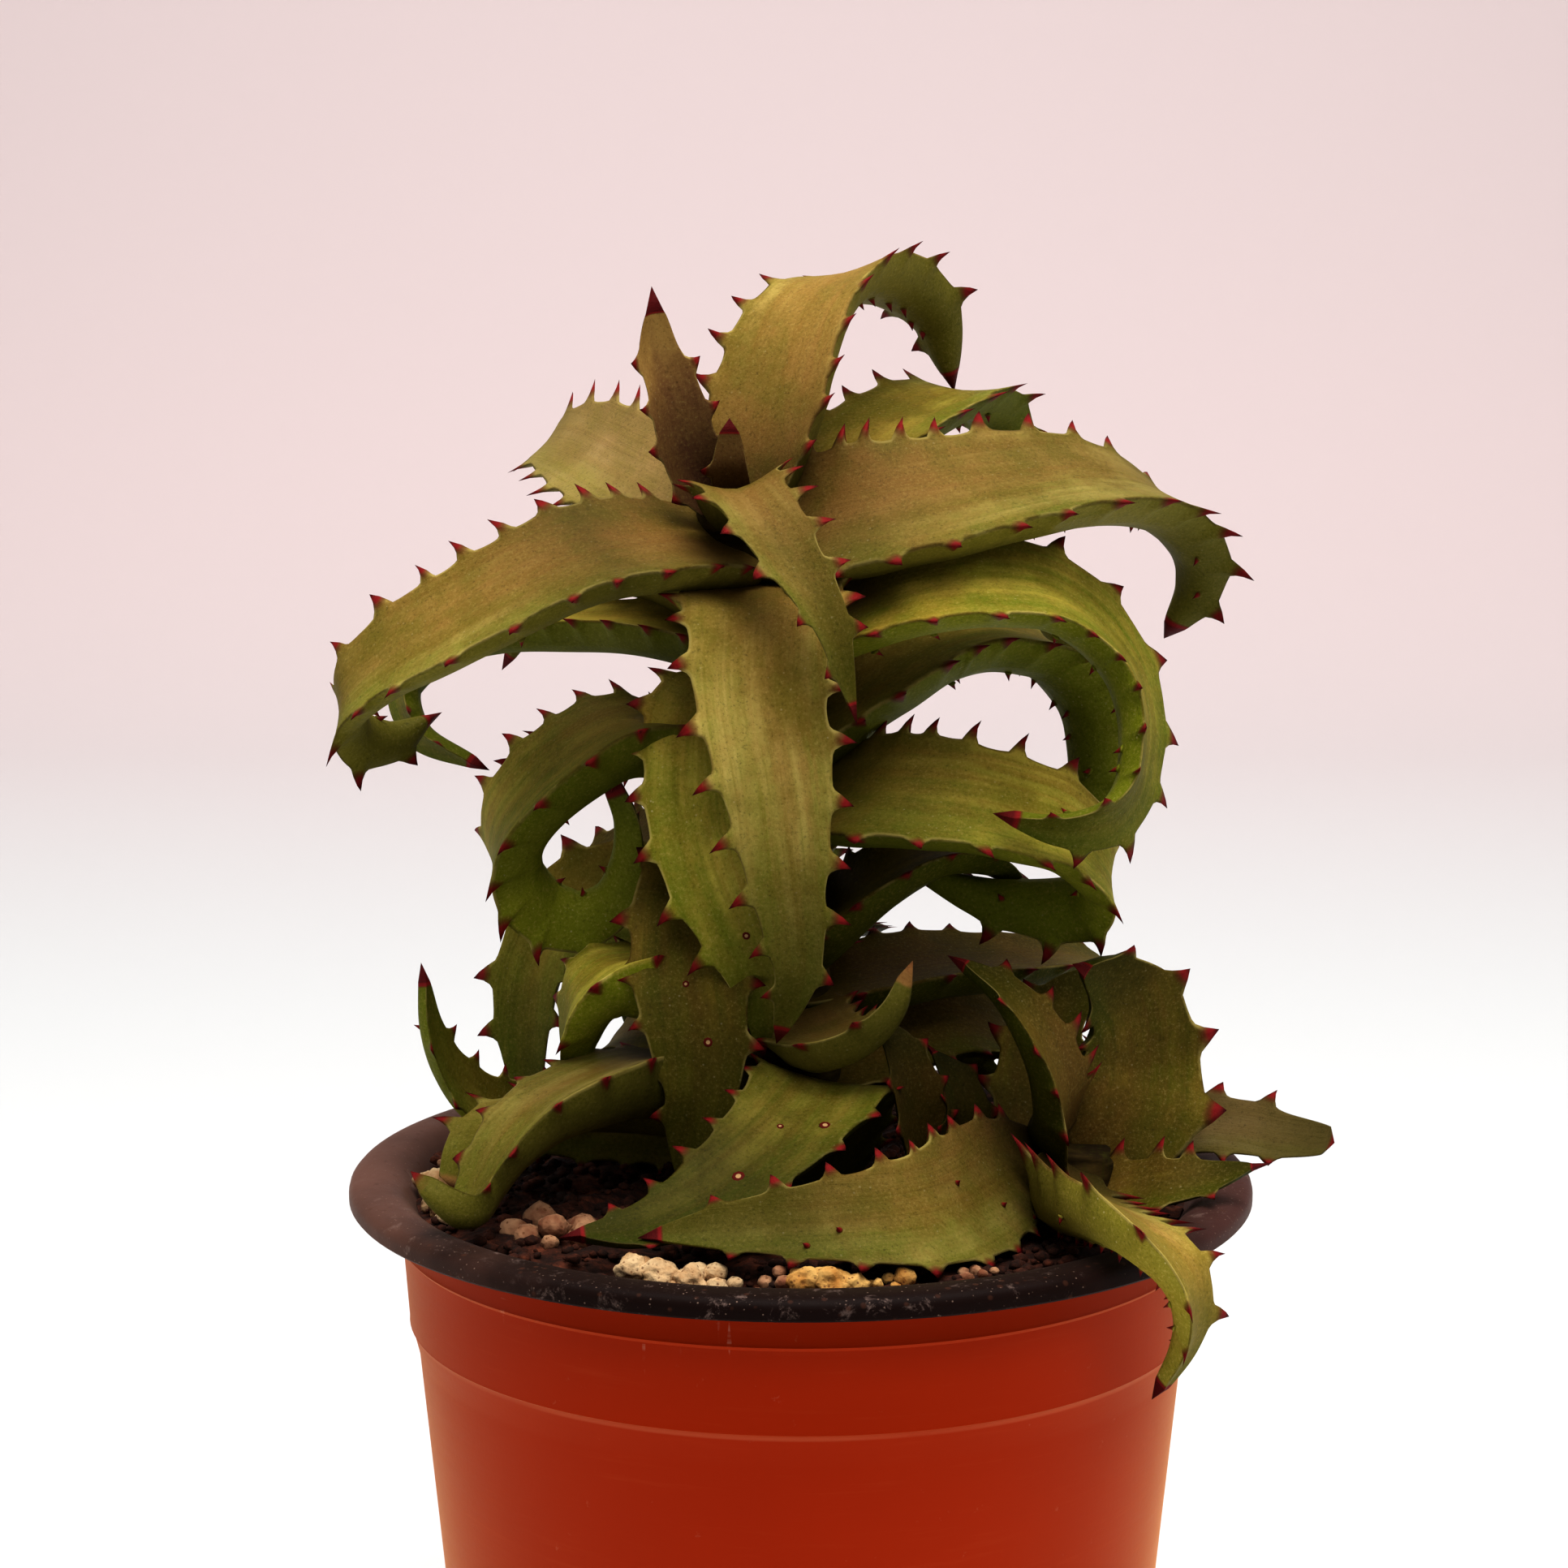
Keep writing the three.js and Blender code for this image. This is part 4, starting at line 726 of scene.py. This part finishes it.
def make_blade(blade, seed):
    """One toothed leaf as a closed mesh with the facts that its skin reads."""
    count = 2 * round(smooth_spine(blade["spine"], 8)[1] / BLADE_STEP / 2)
    places, length = smooth_spine(blade["spine"], count)
    along, ups, sides = carried_frames(places, blade["face"], blade["twist"])
    share = np.linspace(0, 1, count + 1)
    reach = share * length
    phase = 6.28 * chance(seed, 3)
    ripple = 0.02 * np.sin(reach * 0.21 + phase) + 0.012 * np.sin(reach * 0.55)
    wide = half_widths(blade, share) * (1 + ripple)
    deep = blade["thickness"] * blade["width"] * (TIP_DEPTH + (1 - TIP_DEPTH) * (1 - share ** 2))
    sway = 0.25 * np.sin(reach * 0.17 + 2 * phase) * np.sin(np.pi * share)
    jut, crest, slide = toothed_margins(blade, seed, reach, wide)

    def lift(x, below):
        """Height over the spine of the upper or the lower side, at x of the half width."""
        if below:
            return sway - UNDER_SWELL * deep * (1 - abs(x) ** 2.6) ** 0.75
        return sway - blade["channel"] * wide * (1 - abs(x) ** 1.6)

    layout = [(x, False) for x in UPPER_ROW] + [(x, True) for x in LOWER_ROW]
    rows, across, crests = [], [], []
    for x, below in layout:
        side = 0 if x < 0 else 1
        pull = EDGE_PULL.get(abs(x), 0)
        aside = x * wide + math.copysign(pull, x) * jut[side]
        height = lift(x, below) + TOOTH_RISE * pull * jut[side] - EDGE_DROP * (abs(x) == 1)
        ahead = pull * slide[side]
        rows.append(places + sides * aside[:, None] + ups * height[:, None] + along * ahead[:, None])
        across.append(aside)
        crests.append(crest[side] * EDGE_RED.get(abs(x), 0))
    ring = len(layout)
    tip = places[-1] + along[-1] * blade["spike"] - ups[-1] * 0.4 * deep[-1]
    root = places[0] - ups[0] * 0.4 * deep[0]
    points = [np.stack(rows, axis=1).reshape(-1, 3), tip, root]
    faces = closed_tube(count + 1, ring)

    def spread(grid, at_tip, at_root):
        """One value for each point of the rings, then for the tip and the root."""
        return np.append(np.broadcast_to(grid, (count + 1, ring)), (at_tip, at_root))

    offsets, lower = np.array(layout, dtype=float).T
    red_tip = blade["spike"] > BLUNT_SPIKE and blade["dry_from"] > 1
    spine_red = 0.9 * red_tip * np.clip((share - 0.985) / 0.012, 0, 1)
    redness = np.maximum(np.stack(crests, axis=1), spine_red[:, None])
    facts = {
        "share": spread(share[:, None], 1, 0),
        "below": spread(lower, 0.5, 0.5),
        "tooth": spread(redness, 0.9, 0),
        "uphill": spread(sides[:, 2:] * offsets, 0, 0),
        "margin": spread(np.abs(offsets), 0.8, 0.8),
        "scar": spread(0, 0, 0),
        "along": spread(reach[:, None] + 40 * seed, 0, 0),
        "across": spread(np.stack(across, axis=1), 0, 0),
    }
    for spot, x, below, rings, lean, height, reds, scars in leaf_studs(blade, seed):
        i = int(spot * count)
        base = places[i] + sides[i] * x * wide[i] + ups[i] * lift(x, below)[i]
        gaps = [(abs(x - other), k) for k, (other, low) in enumerate(layout) if low == below]
        near = i * ring + min(gaps)[1]
        start = len(facts["share"])
        studded = stud_points(base, -ups[i] if below else ups[i], along[i], rings, lean, height)
        points.append(studded)
        stud_faces = closed_tube(len(rings), STUD_SIDES)
        faces.extend(tuple(start + corner for corner in face) for face in stud_faces)
        own = {
            "tooth": [*np.repeat(reds[:-1], STUD_SIDES), reds[-1], 0],
            "scar": [*np.repeat(scars[:-1], STUD_SIDES), scars[-1], 0],
        }
        for key, values in facts.items():
            facts[key] = np.append(values, own.get(key, [values[near]] * len(studded)))
    run = np.stack([facts.pop("along"), facts.pop("across"), facts["below"] * 30], axis=1)
    # Painted light: the lower side is made lighter by the leaf's underside factor, and the tone from root
    # to tip carries painted light and shade.
    painted_underside_light = 1 + (blade["under_tone"] - 1) * facts["below"]
    facts["tone"] = painted_underside_light * from_root_to_tip(blade["tone"], facts["share"])
    facts["blush"] = from_root_to_tip(blade["blush"], facts["share"])
    facts["dry"] = np.clip((facts["share"] - blade["dry_from"]) / 0.03, 0, 1)
    return mesh_piece(blade["name"] + "_blade", np.vstack(points), faces, facts, run)


def mesh_piece(name, points, faces, facts=None, run=None):
    """A shown piece from points in mm."""
    mesh = bpy.data.meshes.new(name)
    mesh.from_pydata((np.asarray(points) * MM).tolist(), [], faces)
    for key, values in (facts or {}).items():
        fact = mesh.attributes.new(key, "FLOAT", "POINT")
        fact.data.foreach_set("value", np.asarray(values, dtype=np.float32))
    if run is not None:
        layer = mesh.attributes.new("run", "FLOAT_VECTOR", "POINT")
        layer.data.foreach_set("vector", np.asarray(run, dtype=np.float32).reshape(-1))
    mesh.polygons.foreach_set("use_smooth", [True] * len(mesh.polygons))
    mesh.update()
    piece = bpy.data.objects.new(name, mesh)
    bpy.context.scene.collection.objects.link(piece)
    return piece


def settle(piece, skin, slot, *nodes):
    """Dresses a piece and lets it stand for its CAD nodes."""
    piece.data.materials.clear()
    piece.data.materials.append(skin)
    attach(piece, "root")
    if nodes:
        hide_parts(*nodes)


def only(piece):
    """Makes piece the one selected and active object."""
    bpy.ops.object.select_all(action="DESELECT")
    piece.select_set(True)
    bpy.context.view_layer.objects.active = piece


def turn_outward(piece):
    """Makes every face of a piece look outward."""
    only(piece)
    bpy.ops.object.mode_set(mode="EDIT")
    bpy.ops.mesh.select_all(action="SELECT")
    bpy.ops.mesh.normals_make_consistent(inside=False)
    bpy.ops.object.mode_set(mode="OBJECT")


def turned_shell(name, profile, sides):
    """A closed turned body. The disc at the profile's first ring is extruded ring by ring."""
    bpy.ops.object.select_all(action="DESELECT")
    radius, height = profile[0]
    bpy.ops.mesh.primitive_circle_add(vertices=sides, radius=radius * MM, fill_type="NGON",
                                      location=(0, 0, height * MM))
    shell = bpy.context.object
    shell.name = name
    bpy.ops.object.transform_apply(location=True, rotation=True, scale=True)
    bpy.ops.object.mode_set(mode="EDIT")
    bpy.ops.mesh.select_all(action="SELECT")
    for next_radius, next_height in profile[1:]:
        rise = (0, 0, (next_height - height) * MM)
        bpy.ops.mesh.extrude_region_move(TRANSFORM_OT_translate={"value": rise})
        grow = next_radius / radius
        bpy.ops.transform.resize(value=(grow, grow, 1), center_override=(0, 0, next_height * MM))
        radius, height = next_radius, next_height
    bpy.ops.object.mode_set(mode="OBJECT")
    turn_outward(shell)
    return shell


def drill_drains(shell):
    """Cuts a ring of round holes through the floor of a turned shell."""
    for k in range(DRAIN_HOLES):
        angle = 2 * math.pi * (k + 0.5) / DRAIN_HOLES
        place = (DRAIN_RING * math.cos(angle) * MM, DRAIN_RING * math.sin(angle) * MM, 0)
        bpy.ops.object.select_all(action="DESELECT")
        bpy.ops.mesh.primitive_cylinder_add(vertices=32, radius=DRAIN_RADIUS * MM, depth=DRAIN_DEPTH * MM,
                                            location=place)
        cutter = bpy.context.object
        only(shell)
        cut = shell.modifiers.new("drain hole", "BOOLEAN")
        cut.operation = "DIFFERENCE"
        cut.solver = "EXACT"
        cut.object = cutter
        bpy.ops.object.modifier_apply(modifier=cut.name)
        bpy.data.objects.remove(cutter, do_unlink=True)
    only(shell)
    bpy.ops.object.shade_smooth_by_angle(angle=math.radians(POT_CREASE))


def fine_noise(x, y, z, size):
    return noise.noise(Vector((x / size, y / size, z / size)))


def rough_stone(centre, size, seed, cuts, flat=0.82):
    """Points and faces of one rough stone, in mm. A finely cut one also gets pits."""
    ball = bmesh.new()
    bmesh.ops.create_icosphere(ball, subdivisions=cuts, radius=1)
    turn = 6.28 * chance(seed, 1)
    points = []
    for vertex in ball.verts:
        p = vertex.co.copy()
        bulge = 1 + 0.32 * noise.noise(p * 1.3 + Vector((seed, 0, 0)))
        bulge += 0.16 * noise.noise(p * 3.1 + Vector((0, seed, 0)))
        if cuts > 2:
            bulge -= 0.09 * max(0, noise.noise(p * 7 + Vector((0, 0, seed)))) + 0.04 * noise.noise(p * 14)
        p *= bulge * size
        x = p.x * math.cos(turn) - p.y * math.sin(turn)
        y = p.x * math.sin(turn) + p.y * math.cos(turn)
        points.append((centre[0] + x, centre[1] + y, centre[2] + flat * p.z))
    faces = [tuple(corner.index for corner in face.verts) for face in ball.faces]
    ball.free()
    return points, faces


def heap(name, stones):
    """One piece made of several separate stones."""
    points = []
    faces = []
    for stone_points, stone_faces in stones:
        start = len(points)
        points.extend(stone_points)
        faces.extend(tuple(start + i for i in face) for face in stone_faces)
    return mesh_piece(name, points, faces)


POT_BODY = [
    (0.5, 0), (42.4, 0), (43.1, 0.3), (43.3, 0.9), (47.1, 41.5), (51, 82), (51.1, 82.8),
    (51.9, 86), (52.05, 86.5), (52.3, 86.75), (52.25, 87.05), (53, 97.5), (53.2, 97.75), (53.4, 98),
    (53.2, 98.35), (53.2, 102), (53, 102.2), (52.3, 102.2), (52.1, 102), (50.9, 86.8), (49.9, 82.6),
    (46.1, 41.5), (42.2, 1.9), (41.8, 1.6), (0.5, 1.6)]
POT_LINER = [
    (0.5, 1.9), (41.5, 1.9), (41.8, 2.2), (49.5, 82.7), (50.5, 87), (51.75, 102.3), (52.3, 103),
    (53, 103.6), (53.9, 104.2), (54.8, 104.5), (57.6, 104.6), (58.4, 104.5), (58.9, 104), (59.1, 103.4),
    (59.4, 103.2), (59.8, 103.25), (60, 103.5), (60, 104.5), (59.85, 105.1), (59.4, 105.6), (58.6, 105.9),
    (57.6, 106), (55.8, 106), (54.9, 105.9), (54, 105.6), (53.1, 105), (52.4, 104.3), (51.9, 103.5),
    (50.9, 102.2), (49.6, 87.2), (48.6, 82.9), (41.1, 3.1), (40.8, 2.8), (0.5, 2.8)]

# How finely round the pot and the soil are, and the holes in the floor.
POT_SIDES = 144
SOIL_SIDES = 112
DRAIN_HOLES = 6
DRAIN_RING = 27
DRAIN_RADIUS = 4
DRAIN_DEPTH = 12
# Edges of the pot that turn by more than this many degrees stay sharp.
POT_CREASE = 32

SOIL_WALL = [(0.5, 3.1), (40.6, 3.1), (48.3, 82.9), (49.3, 87.3), (50.5, 101.8)]
SOIL_TOP = 103.2
SOIL_RADIUS = 51.2
SOIL_RINGS = 44
CRUMBS = 1500
CRUMB_SIZES = (0.35, 0.5, 0.6, 0.8, 1.1)
CRUMB_REACH = 50.6
GRAIN_REACH = 50.2

STEM_STEP = 0.6
STEM_SIDES = 36
STEM_FACE = (0.1, -1, 0.1)
SHEATH_PITCH = 6.5
STEMS = {
    "stem_main": ([(1, 5, 74), (1, 5, 104), (-2, 5, 132), (-5, 5, 166), (-8, 4, 195)], 5.8),
    "stem_offset": ([(35, -9, 84), (35, -9, 97), (36, -9, 111)], 5.0),
    "stem_pup": ([(18, -12, 86), (18, -12, 97), (18.5, -12.5, 109)], 3.4),
}

PUMICE = {
    "pumice_left": [(-48.6, -3, 2.6), (-46.2, -0.4, 2.5), (-43.4, 0.6, 2.2)],
    "pumice_left_front": [(-47, -11, 2.3), (-46, -14.4, 2.3), (-44.6, -17.8, 2.4)],
    "pumice_front": [(-20.4, -43.6, 2.3), (-17, -44.8, 2.5), (-13.4, -45.6, 2.3)],
    "pumice_front_stone": [(0.4, -48, 2.3), (3.4, -47.8, 2.7), (6.2, -47.6, 2.1)],
    "pumice_back": [(9, 45.4, 2.6), (12.4, 44.2, 2.7), (15.8, 43, 2.4)],
}

# Loose grains and stones lie in piles. Two grains stay apart by a share of their radii added up.
PILE_TRIES = 2
PILE_CROWDING = 0.72
PILE_HEIGHT = 2.4
# The centre of each pile, its half spans, how many, smallest and largest size, and finish.
PILES = [
    ((-47.5, -6), (2.6, 9), 30, (1.2, 2.3), "cream"),
    ((-45.5, 7), (4, 3.5), 12, (0.7, 1.6), "rusty"),
    ((-45.5, -14), (2.5, 5), 8, (0.9, 1.8), "cream"),
    ((-32.5, -24.5), (5.5, 7.5), 13, (1.2, 2.5), "rusty"),
    ((-12.5, -44.5), (6, 3), 18, (0.7, 1.6), "cream"),
    ((-2, -46.5), (4, 2), 9, (0.6, 1.2), "rusty"),
    ((10.5, -46), (5, 2.2), 12, (0.7, 1.5), "yellow"),
    ((24, -42), (5, 3), 6, (0.5, 1.1), "rusty"),
    ((13, 43), (6, 3.5), 14, (0.7, 1.7), "cream"),
    ((-20, 40), (7, 4), 9, (0.6, 1.4), "rusty"),
    ((44, 22), (3, 5), 7, (0.6, 1.3), "cream"),
]


def soil_height(x, y):
    wave = math.sin(0.31 * x + 1.3) * math.cos(0.27 * y - 0.4) + 0.6 * math.sin(0.53 * x - 0.44 * y)
    return SOIL_TOP + 0.5 * wave


def make_soil():
    """Solid soil whose top is lumpy, with loose crumbs pressed into it."""
    rings = [(SOIL_RADIUS * (1 - k / SOIL_RINGS), SOIL_TOP) for k in range(SOIL_RINGS)]
    soil = turned_shell("soil_fill", [*SOIL_WALL, *rings, (0.4, SOIL_TOP)], SOIL_SIDES)
    for vertex in soil.data.vertices:
        x, y, z = vertex.co / MM
        if z > SOIL_TOP - 0.1:
            lumps = 1.1 * fine_noise(x, y, 1, 5) + 0.7 * fine_noise(x, y, 5, 2.2)
            lumps += 0.35 * fine_noise(x, y, 9, 1.1)
            rim_dip = 0.5 * max(0, (math.hypot(x, y) - 47) / 4)
            vertex.co.z = (soil_height(x, y) + lumps - rim_dip) * MM
    dice = random.Random(11)
    crumbs = []
    for k in range(CRUMBS):
        angle = dice.uniform(0, 2 * math.pi)
        radius = CRUMB_REACH * math.sqrt(dice.uniform(0.02, 1))
        x, y = radius * math.cos(angle), radius * math.sin(angle)
        size = dice.choice(CRUMB_SIZES)
        crumbs.append(rough_stone((x, y, soil_height(x, y) + 0.35 * size + 0.2), size, k, cuts=1, flat=0.7))
    return soil, heap("soil_crumbs", crumbs)


def make_stem(name, spine, radius):
    """A stem wrapped in the torn edges of old leaf sheaths."""
    places, length = smooth_spine(spine, 2 * round(smooth_spine(spine, 8)[1] / 2 / STEM_STEP))
    along, ups, sides = carried_frames(places, STEM_FACE, (0, 0))
    points = []
    for place, up, side, reach in zip(places, ups, sides, np.linspace(0, length, len(places))):
        for k in range(STEM_SIDES):
            angle = 2 * math.pi * k / STEM_SIDES
            wave = 0.25 * math.sin(2 * angle + reach * 0.1)
            sheath = (reach / SHEATH_PITCH + k / STEM_SIDES + wave) % 1
            fibre = 0.25 * fine_noise(3 * math.cos(angle), 3 * math.sin(angle), reach, 1.6)
            out = radius * (0.93 + 0.09 * sheath) + fibre
            points.append(place + out * (math.cos(angle) * side + math.sin(angle) * up))
    points.extend([places[-1], places[0]])
    stem = mesh_piece(name + "_sheathed", points, closed_tube(len(places), STEM_SIDES))
    turn_outward(stem)
    return stem


# The pot, the soil and what lies on it.
pot = turned_shell("pot_wall", POT_BODY, POT_SIDES)
drill_drains(pot)
settle(pot, pot_skin(), "terracotta_plastic", "pot_body")
liner = turned_shell("pot_rim_and_liner", POT_LINER, POT_SIDES)
drill_drains(liner)
settle(liner, rim_skin(), "dark_rim", "pot_liner")

earth = soil_skin()
soil, crumbs = make_soil()
settle(soil, earth, "soil", "soil")
settle(crumbs, earth, "soil")

pumice = {
    "cream": pumice_skin("cream pumice", rgb(204, 176, 136), rgb(160, 120, 78)),
    "yellow": pumice_skin("yellow pumice", rgb(198, 158, 92), rgb(170, 118, 54)),
    "rusty": pumice_skin("rusty pumice", rgb(176, 134, 100), rgb(120, 72, 48)),
}
for seed, (name, stones) in enumerate(PUMICE.items()):
    made = [rough_stone((x, y, soil_height(x, y) + 0.35 * size), size, 10 * seed + k, cuts=4)
            for k, (x, y, size) in enumerate(stones)]
    finish = "yellow" if name == "pumice_front_stone" else "cream"
    settle(heap(name + "_stones", made), pumice[finish], "pumice", name)

dice = random.Random(5)
grains = {finish: [] for finish in pumice}
for (cx, cy), (rx, ry), amount, (least, most), finish in PILES:
    placed = []
    for k in range(PILE_TRIES * amount):
        angle = dice.uniform(0, 2 * math.pi)
        spread = math.sqrt(dice.random())
        size = dice.uniform(least, most)
        x = cx + rx * spread * math.cos(angle)
        y = cy + ry * spread * math.sin(angle)
        crowded = any(math.hypot(x - a, y - b) < PILE_CROWDING * (size + c) for a, b, c in placed)
        if math.hypot(x, y) < GRAIN_REACH - size and not crowded and len(placed) < amount:
            placed.append((x, y, size))
            z = soil_height(x, y) + 0.3 * size + PILE_HEIGHT * (1 - spread) * dice.random()
            grains[finish].append(rough_stone((x, y, z), size, 300 + k + 20 * cx, cuts=2))
for finish, stones in grains.items():
    settle(heap("pumice_grains_" + finish, stones), pumice[finish], "pumice")

# The plant.
bark = stem_skin()
for name, (spine, radius) in STEMS.items():
    settle(make_stem(name, spine, radius), bark, "stem", name)

# The name of each leaf finish, then its face, its shade, its flush and its under side.
LEAF_COLOURS = {
    "olive": ("olive leaf", (164, 146, 80), (94, 98, 10), (130, 94, 44), (112, 106, 34)),
    "green": ("green leaf", (154, 140, 58), (78, 90, 4), (124, 94, 34), (96, 102, 16)),
    # The shaded leaf finish is darker, for leaves low in the plant: partly their older, browner colour,
    # partly painted shade.
    "brown": ("shaded leaf", (120, 104, 32), (64, 70, 2), (106, 76, 28), (68, 74, 6)),
    "young": ("young leaf", (174, 146, 84), (146, 112, 58), (88, 46, 36), (112, 78, 44)),
    "pale": ("sun bleached leaf", (184, 164, 108), (142, 128, 52), (166, 132, 84), (140, 128, 60)),
}
SKINS = {finish: leaf_skin(name, *(rgb(*colour) for colour in colours))
         for finish, (name, *colours) in LEAF_COLOURS.items()}
SLOTS = {"olive": "leaf_olive", "green": "leaf_green", "brown": "leaf_shaded", "young": "leaf_young"}
for seed, blade in enumerate(LEAVES):
    settle(make_blade(blade, seed), SKINS[blade["skin"]], SLOTS[blade["finish"]], blade["name"])

# The paper sweep that it stands on, the lights and the camera, in metres.
SWEEP_WIDTH = 6
SWEEP_DEPTH = 4
SWEEP_HEIGHT = 3
SWEEP_CURVE = 0.9
PHOTO_FROM = (0, -0.45, 0.2275)
PHOTO_TILT = (90 - 8.819, 0, 0.282)
PHOTO_LENS = 79.5
WORLD_COLOUR = (1.0, 0.96, 0.93, 1.0)

bpy.ops.object.select_all(action="DESELECT")
bpy.ops.mesh.primitive_plane_add(size=1, location=(0, 0, 0))
floor = bpy.context.object
floor.name = "paper_sweep"
floor.dimensions = (SWEEP_WIDTH, SWEEP_DEPTH, 0)
bpy.ops.object.transform_apply(location=True, rotation=True, scale=True)
bpy.ops.object.mode_set(mode="EDIT")
bpy.ops.mesh.select_all(action="DESELECT")
bpy.ops.object.mode_set(mode="OBJECT")
for edge in floor.data.edges:
    edge.select = all(floor.data.vertices[i].co.y > 0 for i in edge.vertices)
bpy.ops.object.mode_set(mode="EDIT")
bpy.ops.mesh.extrude_region_move(TRANSFORM_OT_translate={"value": (0, 0, SWEEP_HEIGHT)})
bpy.ops.object.mode_set(mode="OBJECT")
curve = floor.modifiers.new("sweep", "BEVEL")
curve.width = SWEEP_CURVE
curve.segments = 24
only(floor)
bpy.ops.object.modifier_apply(modifier=curve.name)
bpy.ops.object.shade_smooth()
floor.data.materials.append(backdrop_skin())


def soft_light(name, place, aim, size, power, colour):
    lamp = bpy.data.lights.new(name, "AREA")
    lamp.shape = "RECTANGLE"
    lamp.size, lamp.size_y = size
    lamp.energy = power
    lamp.color = colour
    holder = bpy.data.objects.new(name, lamp)
    holder.location = place
    holder.rotation_euler = (Vector(aim) - Vector(place)).to_track_quat("-Z", "Y").to_euler()
    bpy.context.scene.collection.objects.link(holder)


soft_light("overhead_softbox", (0.05, -0.22, 1.0), (0, 0, 0.12), (0.6, 0.5), 9.5, (1.0, 0.98, 0.94))
soft_light("front_softbox", (0.25, -1.0, 1.15), (0, 0, 0.12), (0.7, 0.5), 7, (1.0, 0.97, 0.93))
soft_light("left_card", (-0.9, 0.1, 0.3), (0, 0, 0.1), (0.5, 0.8), 2.2, (1.0, 0.98, 0.96))
soft_light("right_card", (0.9, 0.1, 0.3), (0, 0, 0.1), (0.5, 0.8), 2.2, (1.0, 0.98, 0.96))
soft_light("backdrop_wash", (0, 0.45, 1.7), (0, 1.3, 0.1), (2.4, 0.8), 27, (1.0, 0.98, 0.97))

sky = bpy.data.worlds.new("white tent")
sky.use_nodes = True
glow = sky.node_tree.nodes["Background"]
glow.inputs["Color"].default_value = WORLD_COLOUR
glow.inputs["Strength"].default_value = 0.18
bpy.context.scene.world = sky

lens = bpy.data.cameras.new("photo_view")
lens.sensor_width = 36
lens.lens = PHOTO_LENS
camera = bpy.data.objects.new("photo_view", lens)
camera.location = PHOTO_FROM
camera.rotation_euler = [math.radians(angle) for angle in PHOTO_TILT]
bpy.context.scene.collection.objects.link(camera)
bpy.context.scene.camera = camera
bpy.context.scene.view_settings.view_transform = "Standard"
bpy.context.scene.view_settings.gamma = 0.85
